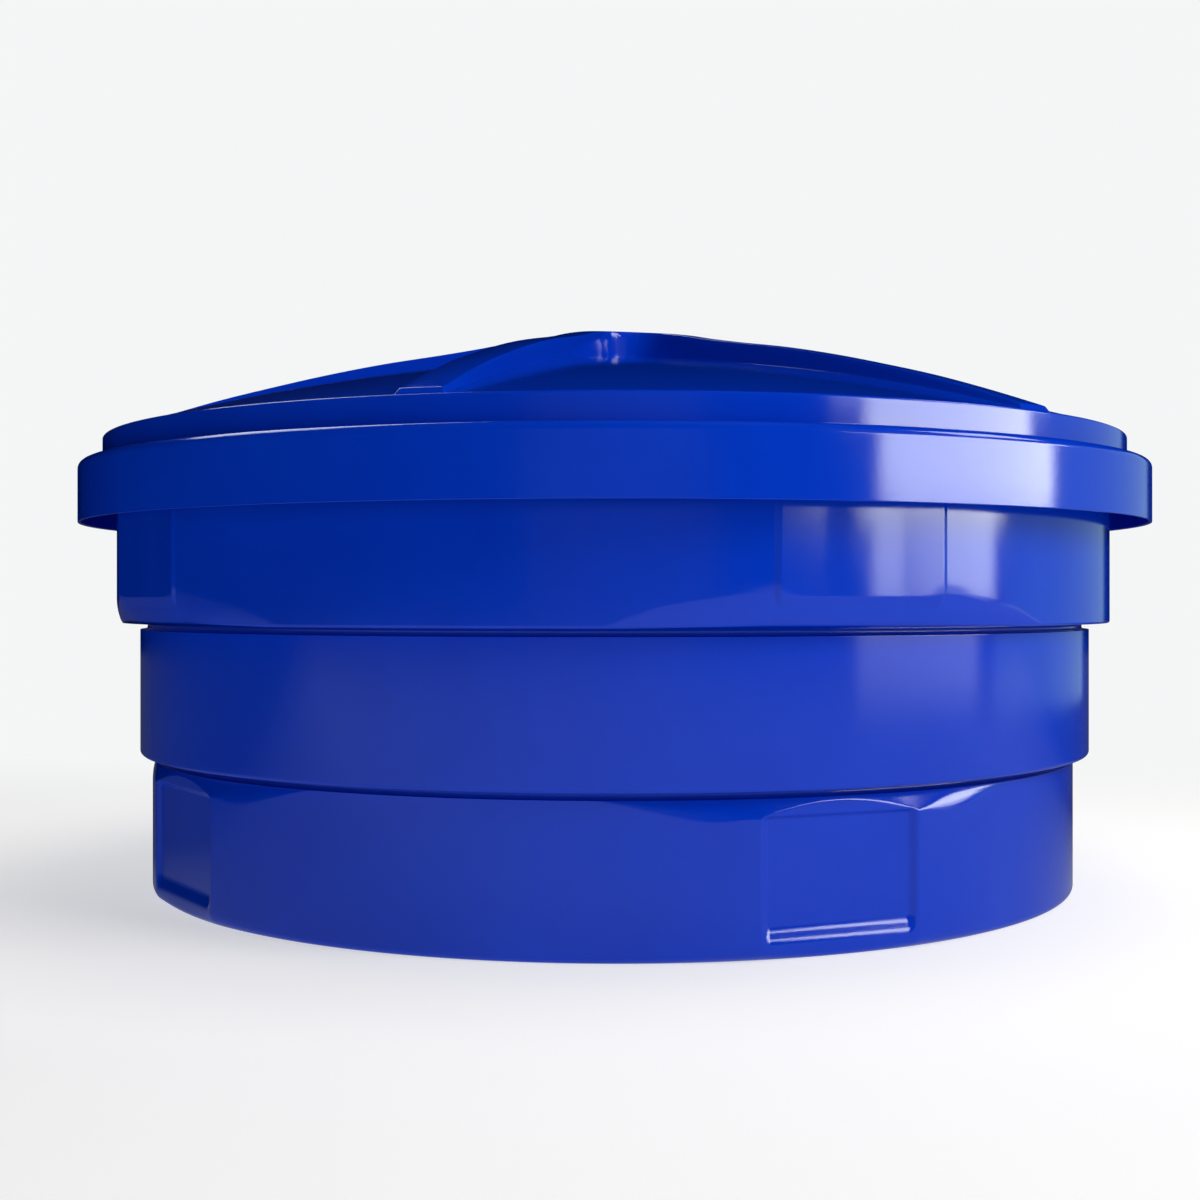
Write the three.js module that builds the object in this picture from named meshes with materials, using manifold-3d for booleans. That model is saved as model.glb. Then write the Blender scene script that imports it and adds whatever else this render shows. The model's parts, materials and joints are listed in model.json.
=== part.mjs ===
// A round, three-tier polyethylene stock-water tank with a ribbed lift-off lid.
// A float valve fills it through one of the flat pads at the back, an overflow leaves through another,
// and a capped drain leaves through a third. Millimetres, +Z up, origin at the centre of the base.
// -Y is the front: the pads lie at equal angles either side of it, and one lid rib points along it.
import * as THREE from "three";
import { mergeVertices } from "three/addons/utils/BufferGeometryUtils.js";
import Module from "manifold-3d";

const wasm = await Module();
wasm.setup();

// ---- driving dimensions ----
const GAP = 0.3; // clearance left between touching pieces
const TURN_STEPS = 60; // facets of the large turned shapes
const SMALL_STEPS = 20; // facets of fittings
const CREST_STEPS = 36; // facets of the turned surface that the ribs' tops lie on
const CREST_POINTS = 6; // stretches along each rib's top

// Tank shell: base, middle and top tiers, each stepped out over the one below.
const WALL = 5;
const BASE_R = 540;
const MIDDLE_R = 557.5;
const TOP_R = 580;
const BASE_TIER_TOP = 148;
const MIDDLE_TIER_BOTTOM = 155.5;
const MIDDLE_TIER_TOP = 296;
const TOP_TIER_BOTTOM = 303.5;
const FOOT_ROUND = 4;
const GROOVE = 5; // how far the groove under each step is sunk in the wall below it

// Flat pads moulded into the base and top tiers.
const PAD_ANGLE = 39.7; // from the front or back centre line, in degrees
const PAD_HALF_SPAN = 8.85; // degrees
const FLARE_SPAN = 15; // degrees over which the wall runs out to a pad's corner
const LOWER_PROUD = 8; // how far a lower pad's corners stand out of the round wall
const UPPER_PROUD = 6;
const PAD_RECESS = 4.5; // how far a lower pad's flat face is sunk in its frame
const PAD_FRAME = 2; // width of the frame's upright edges
const LOWER_SHOULDER = 17; // height of the slope that runs off the top of a lower pad
const UPPER_SHOULDER = 27; // height of the slope under an upper pad
const LOWER_RECESS = [17, 133]; // bottom and top of the sunk pocket where it opens
const LOWER_FLAT = [29, 129]; // bottom and top of its flat face
const PANEL_RISE = 3; // how far an upper pad's flat panel is raised
const PANEL_FOOT = 322; // height of the panel's lower edge where it leaves the wall
const PANEL_BOTTOM = 330; // height of its flat face's lower edge
const RECESS_DRAFT = 6; // run of the pocket's upright sides
const PANEL_DRAFT = 5; // run of the panel's upright sides

// Lid: a skirt, a shelf that rests on the tank's rim, a step, a low dome, six ribs and a hub.
const LID_WALL = 4;
const SKIRT_R = 625.3;
const SKIRT_BOTTOM = 415.5;
const SKIRT_ROUND = 8;
const SHELF_TOP = 483;
const STEP_R = 598.6;
const STEP_TOP = 511;
const STEP_ROUND = 3;
const DOME_TOP = 615.6;
const DOME_SLOPE = 0.0585; // fall per millimetre at the centre
const DOME_CURVE = 0.000198; // extra fall per square millimetre
const RIB_COUNT = 6;
const RIB_HALF_WIDTH = 24.5;
const RIB_END_R = 594; // the ribs stop just short of the step's edge
const RIB_FILLET = 40; // plan radius between two ribs at the hub
const RIB_CREST = [[0, 647], [60, 645.5], [130, 637.5], [210, 621.5], [351, 592], [470, 560.5], [RIB_END_R, 522]];
const HUB_R = 40;
const HUB_TOP = 650;
const HUB_ROUND = 4;

// Rim of the tank: a turned-out flange with a short lip, under the lid's shelf.
const RIM_TOP = SHELF_TOP - LID_WALL - GAP;
const RIM_THICKNESS = 6;
const RIM_R = 612;
const LIP_BOTTOM = 458;

// Fittings, measured along the outward normal from a pad's sunk face.
const BULKHEAD_BORE_R = 16;
const BULKHEAD_SHANK_R = 21;
const BULKHEAD_SHANK_END = 34;
const BULKHEAD_FLANGE_R = 34;
const BULKHEAD_FLANGE = 6;
const GASKET = 3;
const BULKHEAD_NUT_R = 31;
const BULKHEAD_NUT = 13;
const OVERFLOW_Z = 372;
const DRAIN_Z = 58;
const CAP_R = 27;
const CAP_END = 41;
const SCREEN_HOLE_R = 2.2;

const INLET_Z = 380;
const SHANK_R = 13.2;
const SHANK_END = 42;
const SHANK_BORE_R = 7;
const INLET_NUT_R = 20;
const BARREL_R = 14;
const BARREL_END = -62;
const CHAMBER_R = 9.5;
const CHAMBER_START = -20;
const SEAT_FACE = -27;
const PISTON_R = 9.2;
const PISTON_FRONT = -36.5; // the open position
const PISTON_END = -70;
const PIVOT_X = -52;
const PIVOT_Z = -15; // below the shank's axis
const PIN_R = 2;
const LEVER_DROP = 58; // how far the arm hangs below level when the tank is empty, in degrees
const LEVER_MID = 38; // the same angle where its finger stands upright; the valve shuts at 10
const FINGER_LENGTH = 9.5;
const ROD_R = 3;
const ROD_START = 20;
const ROD_END = 250;
const BALL_CENTRE = 300; // from the pivot, along the arm
const BALL_R = 60;
const BALL_WALL = 2;

const rad = THREE.MathUtils.degToRad;

// ---- materials ----
const plastic = (color, roughness) => new THREE.MeshStandardMaterial({ color, roughness, metalness: 0 });
const metal = (color, roughness) => new THREE.MeshStandardMaterial({ color, roughness, metalness: 1 });
const BLUE = plastic(0x0a2fb4, 0.3);
const BLACK_PLASTIC = plastic(0x1b1c1f, 0.45);
const RUBBER = plastic(0x26262a, 0.8);
const WHITE_NYLON = plastic(0xe8e6de, 0.5);
const ORANGE = plastic(0xd9541e, 0.4);
const BRASS = metal(0xb98f45, 0.35);
const STEEL = metal(0xb9bcc0, 0.3);

// ---- solids ----
// A closed three.js geometry as a manifold-3d solid.
function solid(geometry) {
  const bare = geometry.index ? geometry.toNonIndexed() : geometry.clone();
  bare.deleteAttribute("normal");
  bare.deleteAttribute("uv");
  const merged = mergeVertices(bare, 1e-3);
  return new wasm.Manifold(
    new wasm.Mesh({
      numProp: 3,
      vertProperties: merged.attributes.position.array,
      triVerts: new Uint32Array(merged.index.array),
    }),
  );
}

// A manifold-3d solid as a named three.js mesh.
function piece(name, made, material) {
  const mesh = made.getMesh();
  const geometry = new THREE.BufferGeometry()
    .setAttribute("position", new THREE.BufferAttribute(mesh.vertProperties, 3))
    .setIndex(new THREE.BufferAttribute(mesh.triVerts, 1));
  geometry.computeVertexNormals();
  const out = new THREE.Mesh(geometry, material);
  out.name = name;
  return out;
}

// Turned about Z from [radius, height] points that run up the outside and back down the inside.
function turned(points, steps = TURN_STEPS) {
  const profile = points.map(([r, z]) => new THREE.Vector2(r, z));
  return solid(new THREE.LatheGeometry(profile, steps).rotateX(Math.PI / 2));
}

// Turned about the local X axis from [radius, x] points, in order of rising x on the outside.
function turnedAlongX(points, steps = SMALL_STEPS) {
  const profile = points.map(([r, x]) => new THREE.Vector2(r, x));
  return solid(new THREE.LatheGeometry(profile, steps).rotateX(Math.PI / 2).rotateY(Math.PI / 2));
}

function rodAlongX(radius, from, to, steps = SMALL_STEPS) {
  return turnedAlongX([[0, from], [radius, from], [radius, to], [0, to]], steps);
}

function ringAlongX(outer, inner, from, to, steps = SMALL_STEPS) {
  return turnedAlongX([[inner, from], [outer, from], [outer, to], [inner, to], [inner, from]], steps);
}

// A box between two corners.
function block([x0, y0, z0], [x1, y1, z1]) {
  const geometry = new THREE.BoxGeometry(x1 - x0, y1 - y0, z1 - z0);
  return solid(geometry.translate((x0 + x1) / 2, (y0 + y1) / 2, (z0 + z1) / 2));
}

// A flat-ended block along X between two [x, half width, bottom, top] rectangles.
function tapered(back, front) {
  const geometry = new THREE.BoxGeometry(1, 1, 1);
  const place = geometry.attributes.position;
  for (let i = 0; i < place.count; i++) {
    const [x, half, bottom, top] = place.getX(i) > 0 ? front : back;
    place.setXYZ(i, x, place.getY(i) > 0 ? half : -half, place.getZ(i) > 0 ? top : bottom);
  }
  return solid(geometry);
}

// A plan outline raised from one height to another.
function raised(shape, from, to, curveSegments = 4) {
  const geometry = new THREE.ExtrudeGeometry(shape, { depth: to - from, bevelEnabled: false, curveSegments });
  return solid(geometry.translate(0, 0, from));
}

const polygon = (points) => new THREE.Shape(points.map(([x, y]) => new THREE.Vector2(x, y)));

// Points on a rounded corner from one angle to another, in degrees.
function arc(cx, cz, radius, from, to, steps = 2) {
  return Array.from({ length: steps + 1 }, (_, i) => {
    const a = rad(from + ((to - from) * i) / steps);
    return [cx + radius * Math.cos(a), cz + radius * Math.sin(a)];
  });
}

// The angle about Z that turns local +X to point outward at an azimuth counted from the front.
const padTurn = (azimuth) => azimuth - 90;
const rotated = (made, azimuth) => made.rotate([0, 0, padTurn(azimuth)]);

// ---- tank shell ----
const PAD_AZIMUTHS = [PAD_ANGLE, -PAD_ANGLE, 180 - PAD_ANGLE, PAD_ANGLE - 180];
const INLET_AZIMUTH = PAD_ANGLE - 180;
const DRAIN_AZIMUTH = 180 - PAD_ANGLE;
const OVERFLOW_AZIMUTH = 180 - PAD_ANGLE;

// Distance from the axis to the plane through a pad's two corners, and to its flat face.
const padPlane = (r, proud) => (r + proud) * Math.cos(rad(PAD_HALF_SPAN));
const padHalfWidth = (r, proud) => (r + proud) * Math.sin(rad(PAD_HALF_SPAN));
const LOWER_FACE = padPlane(BASE_R, LOWER_PROUD) - PAD_RECESS;
const UPPER_FACE = padPlane(TOP_R, UPPER_PROUD) + PANEL_RISE;

// A pad's plan: a flat front, and a flare each side that runs evenly down to the round wall.
function padPlan(r, proud, inset) {
  const steps = 5;
  const depth = 0.9;
  const flare = Array.from({ length: steps + 1 }, (_, i) => {
    const a = rad(PAD_HALF_SPAN + (FLARE_SPAN * i) / steps);
    const out = r + proud * (1 - i / steps) - inset;
    return [out * Math.cos(a), out * Math.sin(a)];
  });
  const end = flare[steps];
  const right = [...flare, [end[0] * depth, end[1] * depth]];
  const left = right.map(([x, y]) => [x, -y]).reverse();
  return polygon([...left, ...right]);
}

// The turned forms that cut a pad off in a slope where its tier ends.
const lowerLimit = (inset) => turned([
  [0, 0],
  [BASE_R + LOWER_PROUD - FOOT_ROUND - inset, 0],
  [BASE_R + LOWER_PROUD - inset, FOOT_ROUND],
  [BASE_R + LOWER_PROUD - inset, BASE_TIER_TOP - LOWER_SHOULDER - inset],
  [BASE_R - inset, BASE_TIER_TOP - inset],
  [0, BASE_TIER_TOP - inset],
]);
const upperLimit = (inset) => turned([
  [0, TOP_TIER_BOTTOM + inset],
  [TOP_R - inset, TOP_TIER_BOTTOM + inset],
  [TOP_R + UPPER_PROUD - inset, TOP_TIER_BOTTOM + UPPER_SHOULDER + inset],
  [TOP_R + UPPER_PROUD - inset, RIM_TOP + 1],
  [0, RIM_TOP + 1],
]);

// The tank with its hollow filled in.
function tankOutside() {
  let made = turned([
    [0, 0],
    ...arc(BASE_R - FOOT_ROUND, FOOT_ROUND, FOOT_ROUND, -90, 0),
    [BASE_R, BASE_TIER_TOP],
    [BASE_R - GROOVE, BASE_TIER_TOP],
    [BASE_R - GROOVE, MIDDLE_TIER_BOTTOM],
    [MIDDLE_R, MIDDLE_TIER_BOTTOM],
    [MIDDLE_R, MIDDLE_TIER_TOP],
    [MIDDLE_R - GROOVE, MIDDLE_TIER_TOP],
    [MIDDLE_R - GROOVE, TOP_TIER_BOTTOM],
    [TOP_R, TOP_TIER_BOTTOM],
    [TOP_R, RIM_TOP - RIM_THICKNESS],
    [RIM_R - WALL, RIM_TOP - RIM_THICKNESS],
    [RIM_R - WALL, LIP_BOTTOM],
    [RIM_R, LIP_BOTTOM],
    [RIM_R, RIM_TOP],
    [0, RIM_TOP],
  ]);
  const lowerPlane = padPlane(BASE_R, LOWER_PROUD);
  const upperPlane = padPlane(TOP_R, UPPER_PROUD);
  const lowerHalf = padHalfWidth(BASE_R, LOWER_PROUD) - PAD_FRAME;
  const upperHalf = padHalfWidth(TOP_R, UPPER_PROUD);
  for (const azimuth of PAD_AZIMUTHS) {
    const lower = rotated(raised(padPlan(BASE_R, LOWER_PROUD, 0), 0, BASE_TIER_TOP), azimuth);
    const upper = rotated(raised(padPlan(TOP_R, UPPER_PROUD, 0), TOP_TIER_BOTTOM, RIM_TOP - 1), azimuth);
    made = made.add(lower.intersect(lowerLimit(0))).add(upper.intersect(upperLimit(0)));
  }
  for (const azimuth of PAD_AZIMUTHS) {
    // Both are carried on past the frame's plane at the same slopes.
    const pocket = tapered(
      [LOWER_FACE, lowerHalf - RECESS_DRAFT, LOWER_FLAT[0], LOWER_FLAT[1]],
      [
        lowerPlane + PAD_RECESS,
        lowerHalf + RECESS_DRAFT,
        2 * LOWER_RECESS[0] - LOWER_FLAT[0],
        2 * LOWER_RECESS[1] - LOWER_FLAT[1],
      ],
    );
    const panel = tapered(
      [upperPlane - PANEL_RISE, upperHalf + PANEL_DRAFT, 2 * PANEL_FOOT - PANEL_BOTTOM, RIM_TOP - 1],
      [UPPER_FACE, upperHalf - PANEL_DRAFT, PANEL_BOTTOM, RIM_TOP - 1],
    );
    made = made.subtract(rotated(pocket, azimuth)).add(rotated(panel, azimuth));
  }
  return made;
}

// The tank's hollow, one wall thickness inside its outside.
function tankInside() {
  let made = turned([
    [0, WALL],
    ...arc(BASE_R - WALL - FOOT_ROUND, WALL + FOOT_ROUND, FOOT_ROUND, -90, 0),
    [BASE_R - WALL, BASE_TIER_TOP - WALL],
    [BASE_R - GROOVE - WALL, BASE_TIER_TOP - WALL],
    [BASE_R - GROOVE - WALL, MIDDLE_TIER_BOTTOM + WALL],
    [MIDDLE_R - WALL, MIDDLE_TIER_BOTTOM + WALL],
    [MIDDLE_R - WALL, MIDDLE_TIER_TOP - WALL],
    [MIDDLE_R - GROOVE - WALL, MIDDLE_TIER_TOP - WALL],
    [MIDDLE_R - GROOVE - WALL, TOP_TIER_BOTTOM + WALL],
    [TOP_R - WALL, TOP_TIER_BOTTOM + WALL],
    [TOP_R - WALL, RIM_TOP + 1],
    [0, RIM_TOP + 1],
  ]);
  const behind = 1.5; // how much narrower the panel's hollow back is than its front
  const upperPlane = padPlane(TOP_R, UPPER_PROUD);
  const upperHalf = padHalfWidth(TOP_R, UPPER_PROUD) - behind;
  for (const azimuth of PAD_AZIMUTHS) {
    const lower = raised(padPlan(BASE_R, LOWER_PROUD, WALL), 2 * WALL, BASE_TIER_TOP);
    const upper = raised(padPlan(TOP_R, UPPER_PROUD, WALL), TOP_TIER_BOTTOM, RIM_TOP + 1);
    const panel = tapered(
      [upperPlane - PANEL_RISE - WALL, upperHalf + PANEL_DRAFT, 2 * PANEL_FOOT - PANEL_BOTTOM + WALL, RIM_TOP + 1],
      [UPPER_FACE - WALL, upperHalf - PANEL_DRAFT, PANEL_BOTTOM + behind, RIM_TOP + 1],
    );
    made = made
      .add(rotated(lower, azimuth).intersect(lowerLimit(WALL)))
      .add(rotated(upper, azimuth).intersect(upperLimit(WALL)))
      .add(rotated(panel, azimuth));
  }
  for (const azimuth of PAD_AZIMUTHS) {
    const half = padHalfWidth(BASE_R, LOWER_PROUD) - PAD_FRAME + WALL;
    const behindPocket = block(
      [LOWER_FACE - WALL, -half, LOWER_RECESS[0] - WALL],
      [BASE_R + 40, half, LOWER_RECESS[1] + WALL],
    );
    made = made.subtract(rotated(behindPocket, azimuth));
  }
  return made;
}

// A hole through the wall for a fitting, at a pad's middle.
function wallHole(azimuth, face, z, radius) {
  const hole = rodAlongX(radius, -4 * WALL, 4 * WALL, SMALL_STEPS).translate([face, 0, z]);
  return rotated(hole, azimuth);
}

function tankShell() {
  return tankOutside()
    .subtract(tankInside())
    .subtract(wallHole(INLET_AZIMUTH, UPPER_FACE, INLET_Z, SHANK_R + GAP))
    .subtract(wallHole(OVERFLOW_AZIMUTH, UPPER_FACE, OVERFLOW_Z, BULKHEAD_SHANK_R + GAP))
    .subtract(wallHole(DRAIN_AZIMUTH, LOWER_FACE, DRAIN_Z, BULKHEAD_SHANK_R + GAP));
}

// ---- lid ----
const domeHeight = (r) => DOME_TOP - DOME_SLOPE * r - DOME_CURVE * r * r;
const crest = new THREE.SplineCurve(RIB_CREST.map(([s, z]) => new THREE.Vector2(s, z)));

// The plan of all the ribs: a star whose inner corners are rounded where neighbours meet at the hub.
function ribStar(halfWidth, fillet, end) {
  const star = new THREE.Shape();
  const half = Math.PI / RIB_COUNT;
  for (let i = 0; i < RIB_COUNT; i++) {
    const along = -Math.PI / 2 + 2 * half * i;
    const [c, s] = [Math.cos(along), Math.sin(along)];
    const corner = (side) => [end * c - side * halfWidth * s, end * s + side * halfWidth * c];
    if (i === 0) star.moveTo(...corner(-1));
    else star.lineTo(...corner(-1));
    star.lineTo(...corner(1));
    const between = along + half;
    const reach = (halfWidth + fillet) / Math.sin(half);
    star.absarc(
      reach * Math.cos(between),
      reach * Math.sin(between),
      fillet,
      along - Math.PI / 2,
      along + 2 * half + Math.PI / 2,
      true,
    );
  }
  return star;
}

// The lid's outer or inner surface as a filled shape; the inset is one wall thickness for the inside.
function lidForm(inset) {
  const skirt = SKIRT_R - inset;
  const step = STEP_R - inset;
  const shelf = SHELF_TOP - inset;
  const bottom = inset ? SKIRT_BOTTOM - 1 : SKIRT_BOTTOM;
  const skirtRound = SKIRT_ROUND - inset;
  const domeRadii = [590, 490, 370, 250, 130, 0].map((r) => Math.min(r, step - STEP_ROUND));
  const dome = turned([
    [0, bottom],
    [skirt, bottom],
    ...arc(skirt - skirtRound, shelf - skirtRound, skirtRound, 0, 90),
    [step, shelf],
    [step, STEP_TOP - inset - STEP_ROUND],
    [step - STEP_ROUND, STEP_TOP - inset],
    ...domeRadii.map((r) => [r, domeHeight(r) - inset]),
  ]);
  const crestPoints = crest.getPoints(CREST_POINTS).map((p) => [p.x, p.y - inset]);
  const ribTop = turned([[0, shelf + 1], [RIB_END_R, shelf + 1], ...crestPoints.reverse()], CREST_STEPS);
  const ribs = raised(ribStar(RIB_HALF_WIDTH - inset, RIB_FILLET + inset, RIB_END_R - inset), shelf, HUB_TOP);
  const hub = turned(
    [
      [0, shelf],
      [HUB_R - inset, shelf],
      [HUB_R - inset, HUB_TOP - inset - HUB_ROUND],
      [HUB_R - inset - HUB_ROUND, HUB_TOP - inset],
      [0, HUB_TOP - inset],
    ],
    SMALL_STEPS,
  );
  return dome.add(ribs.intersect(ribTop)).add(hub);
}

const lidShell = () => lidForm(0).subtract(lidForm(LID_WALL));

// ---- fittings ----
const hexSteps = 6;

// The threads on a fitting's outside, as shallow rings.
function threadedRod(radius, depth, pitch, from, to) {
  const points = [[0, from], [radius - depth, from]];
  for (let x = from; x + pitch <= to; x += pitch) points.push([radius, x + pitch / 2], [radius - depth, x + pitch]);
  points.push([radius - depth, to], [0, to]);
  return turnedAlongX(points);
}

// A flanged bulkhead: the flange and gasket are inside the wall, and the nut outside.
function bulkhead(name, azimuth, face, z, material) {
  const flangeFrom = -WALL - 2 * GAP - GASKET - BULKHEAD_FLANGE;
  const flangeTo = flangeFrom + BULKHEAD_FLANGE;
  const body = rodAlongX(BULKHEAD_FLANGE_R, flangeFrom, flangeTo, 28)
    .add(rodAlongX(BULKHEAD_SHANK_R, flangeTo - 1, BULKHEAD_NUT))
    .add(threadedRod(BULKHEAD_SHANK_R, 1, 5, BULKHEAD_NUT - 1, BULKHEAD_SHANK_END))
    .subtract(rodAlongX(BULKHEAD_BORE_R, flangeFrom - 1, BULKHEAD_SHANK_END + 1));
  const gasket = ringAlongX(BULKHEAD_FLANGE_R - 2, BULKHEAD_SHANK_R + GAP, -WALL - GAP - GASKET, -WALL - GAP);
  const nut = rodAlongX(BULKHEAD_NUT_R, GAP, BULKHEAD_NUT, hexSteps).subtract(
    rodAlongX(BULKHEAD_SHANK_R + GAP, 0, BULKHEAD_NUT + 1),
  );
  return atPad(azimuth, face, z, [
    piece(`${name}_flange`, body, material),
    piece(`${name}_gasket`, gasket, RUBBER),
    piece(`${name}_nut`, nut, material),
  ]);
}

// The perforated disc that keeps insects out of the overflow.
function overflowScreen() {
  const from = BULKHEAD_SHANK_END - 4;
  const to = BULKHEAD_SHANK_END - 1.5;
  let disc = rodAlongX(BULKHEAD_BORE_R - GAP, from, to);
  const rows = [[0, 1], [5.4, 6], [10.8, 12]];
  for (const [radius, count] of rows) {
    for (let i = 0; i < count; i++) {
      const a = (2 * Math.PI * i) / count;
      const hole = rodAlongX(SCREEN_HOLE_R, from - 1, to + 1, 6);
      disc = disc.subtract(hole.translate([0, radius * Math.cos(a), radius * Math.sin(a)]));
    }
  }
  return disc;
}

// The cap that screws over the drain's shank, with grip ribs round its rim, and its sealing washer.
function drainCap() {
  const start = BULKHEAD_NUT + 2;
  const washerFrom = BULKHEAD_SHANK_END + GAP;
  const endWall = washerFrom + 2 + GAP;
  let cap = rodAlongX(CAP_R - 2, start, CAP_END).subtract(
    rodAlongX(BULKHEAD_SHANK_R + 2 * GAP, start - 1, endWall),
  );
  const grips = 8;
  for (let i = 0; i < grips; i++) {
    const grip = block([start + 2, CAP_R - 4, -2.5], [CAP_END, CAP_R + 1, 2.5]);
    cap = cap.add(grip.rotate([(360 * i) / grips, 0, 0]));
  }
  const washer = ringAlongX(BULKHEAD_SHANK_R, BULKHEAD_BORE_R, washerFrom, washerFrom + 2);
  return [piece("drain_cap", cap, BLACK_PLASTIC), piece("drain_cap_washer", washer, RUBBER)];
}

// ---- float valve, along the inlet's own axis ----
// A turned-brass body: shank through the wall, shoulder, barrel, spout and the two ears of the pivot.
function valveBody() {
  const shoulderTo = -WALL - 2 * GAP - 2.4;
  const shoulderFrom = shoulderTo - 6;
  const earTop = -BARREL_R + 4;
  const ear = (side) => {
    const y = side > 0 ? [5, 9] : [-9, -5];
    return block([PIVOT_X - 7, y[0], PIVOT_Z - 6], [PIVOT_X + 7, y[1], earTop]);
  };
  const spout = solid(new THREE.CylinderGeometry(7, 7, 18, SMALL_STEPS).rotateX(Math.PI / 2));
  const spoutBore = solid(new THREE.CylinderGeometry(4.5, 4.5, 30, SMALL_STEPS).rotateX(Math.PI / 2));
  const spoutX = (SEAT_FACE + PISTON_FRONT) / 2 - 1;
  const pinHole = solid(new THREE.CylinderGeometry(PIN_R + GAP, PIN_R + GAP, 30, 12));
  return threadedRod(SHANK_R, 0.8, 4, 12, SHANK_END)
    .add(rodAlongX(SHANK_R, shoulderTo - 1, 13))
    .add(rodAlongX(INLET_NUT_R, shoulderFrom, shoulderTo, hexSteps))
    .add(rodAlongX(BARREL_R, BARREL_END, shoulderFrom + 1))
    .add(ear(1))
    .add(ear(-1))
    .add(spout.translate([spoutX, 0, -BARREL_R - 5]))
    .subtract(rodAlongX(SHANK_BORE_R, CHAMBER_START - 1, SHANK_END + 1))
    .subtract(rodAlongX(CHAMBER_R, BARREL_END - 1, CHAMBER_START))
    .subtract(spoutBore.translate([spoutX, 0, -BARREL_R - 8]))
    .subtract(block([BARREL_END - 1, -5, -BARREL_R - 1], [PIVOT_X + 13, 5, 0]))
    .subtract(pinHole.translate([PIVOT_X, 0, PIVOT_Z]));
}

function valveSeat() {
  const from = SEAT_FACE;
  const to = CHAMBER_START - GAP;
  return turnedAlongX([
    [3, from],
    [5, from],
    [6, from + 2],
    [PISTON_R, from + 2],
    [PISTON_R, to],
    [3, to],
    [3, from],
  ]);
}

// The piston carries a rubber washer in its front cup, and a slot below that the lever's finger works in.
function piston() {
  const cup = rodAlongX(6.3, PISTON_FRONT - 2.3, PISTON_FRONT + 1);
  const tipX = PIVOT_X - FINGER_LENGTH * Math.sin(rad(LEVER_DROP - LEVER_MID));
  const slot = block([tipX - 4.3, -4.4, -PISTON_R - 1], [tipX + 3.7, 4.4, -3]);
  return rodAlongX(PISTON_R, PISTON_END, PISTON_FRONT).subtract(cup).subtract(slot);
}

const pistonWasher = () => rodAlongX(6, PISTON_FRONT - 2, PISTON_FRONT + 1.5);

// Everything on the arm is drawn level, reaching out along local -X from the pivot, and then hung.
function lever() {
  const hub = solid(new THREE.CylinderGeometry(5.5, 5.5, 8.8, SMALL_STEPS));
  const hole = solid(new THREE.CylinderGeometry(PIN_R + GAP, PIN_R + GAP, 20, 12));
  const tip = FINGER_LENGTH;
  const finger = block([-2, -3.5, 2], [2, 3.5, tip]).rotate([0, LEVER_MID, 0]);
  return hub
    .add(finger)
    .add(block([-16, -4.4, -4.4], [0, 4.4, 4.4]))
    .add(rodAlongX(6, -34, -14))
    .subtract(hole)
    .subtract(rodAlongX(ROD_R + GAP, -35, -ROD_START));
}

function floatBall() {
  const sphere = (r) => solid(new THREE.SphereGeometry(r, 18, 10).rotateZ(Math.PI / 2));
  const boss = rodAlongX(9, BALL_R - 4, BALL_R + 8);
  return sphere(BALL_R)
    .add(boss)
    .subtract(sphere(BALL_R - BALL_WALL).subtract(rodAlongX(9, BALL_R - 12, BALL_R)))
    .subtract(rodAlongX(ROD_R + GAP, BALL_R - 14, BALL_R + 9));
}

function smallNut(radius, from, to) {
  return rodAlongX(radius, from, to, hexSteps).subtract(rodAlongX(ROD_R + GAP, from - 1, to + 1, 12));
}

function floatArm() {
  const arm = new THREE.Group();
  arm.position.set(PIVOT_X, 0, PIVOT_Z);
  arm.rotation.y = -rad(LEVER_DROP);
  const ball = piece("float_ball", floatBall(), ORANGE);
  ball.position.x = -BALL_CENTRE;
  arm.add(
    piece("float_lever", lever(), BRASS),
    piece("float_rod", rodAlongX(ROD_R, -ROD_END, -ROD_START - GAP, 12), BRASS),
    piece("rod_lock_nut", smallNut(7, -39.5, -34 - GAP), BRASS),
    piece("ball_lock_nut", smallNut(7, -BALL_CENTRE + BALL_R + 8 + GAP, -BALL_CENTRE + BALL_R + 13.5), BRASS),
    ball,
  );
  return arm;
}

// ---- placing ----
// Puts pieces drawn along a pad's outward normal at that pad's sunk face.
function atPad(azimuth, face, z, pieces) {
  const turn = new THREE.Group();
  turn.rotation.z = rad(padTurn(azimuth));
  const group = new THREE.Group();
  group.position.set(face, 0, z);
  group.add(...pieces);
  turn.add(group);
  return turn;
}

function floatValve() {
  const washer = (from) => ringAlongX(INLET_NUT_R - 2, SHANK_R + GAP, from, from + 2.4);
  const nut = rodAlongX(INLET_NUT_R, 3, 12, hexSteps).subtract(rodAlongX(SHANK_R + GAP, 2, 13));
  const pin = solid(new THREE.CylinderGeometry(PIN_R, PIN_R, 22, 12)).add(
    solid(new THREE.CylinderGeometry(PIN_R + 1.5, PIN_R + 1.5, 1.6, 12).translate(0, 10.2, 0)),
  );
  return atPad(INLET_AZIMUTH, UPPER_FACE, INLET_Z, [
    piece("inlet_valve_body", valveBody(), BRASS),
    piece("inlet_outer_washer", washer(GAP), RUBBER),
    piece("inlet_inner_washer", washer(-WALL - GAP - 2.4), RUBBER),
    piece("inlet_lock_nut", nut, BRASS),
    piece("valve_seat", valveSeat(), WHITE_NYLON),
    piece("lever_pivot_pin", pin.translate([PIVOT_X, 0, PIVOT_Z]), STEEL),
    piece("valve_piston", piston(), BRASS),
    piece("piston_washer", pistonWasher(), RUBBER),
    floatArm(),
  ]);
}

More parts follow.
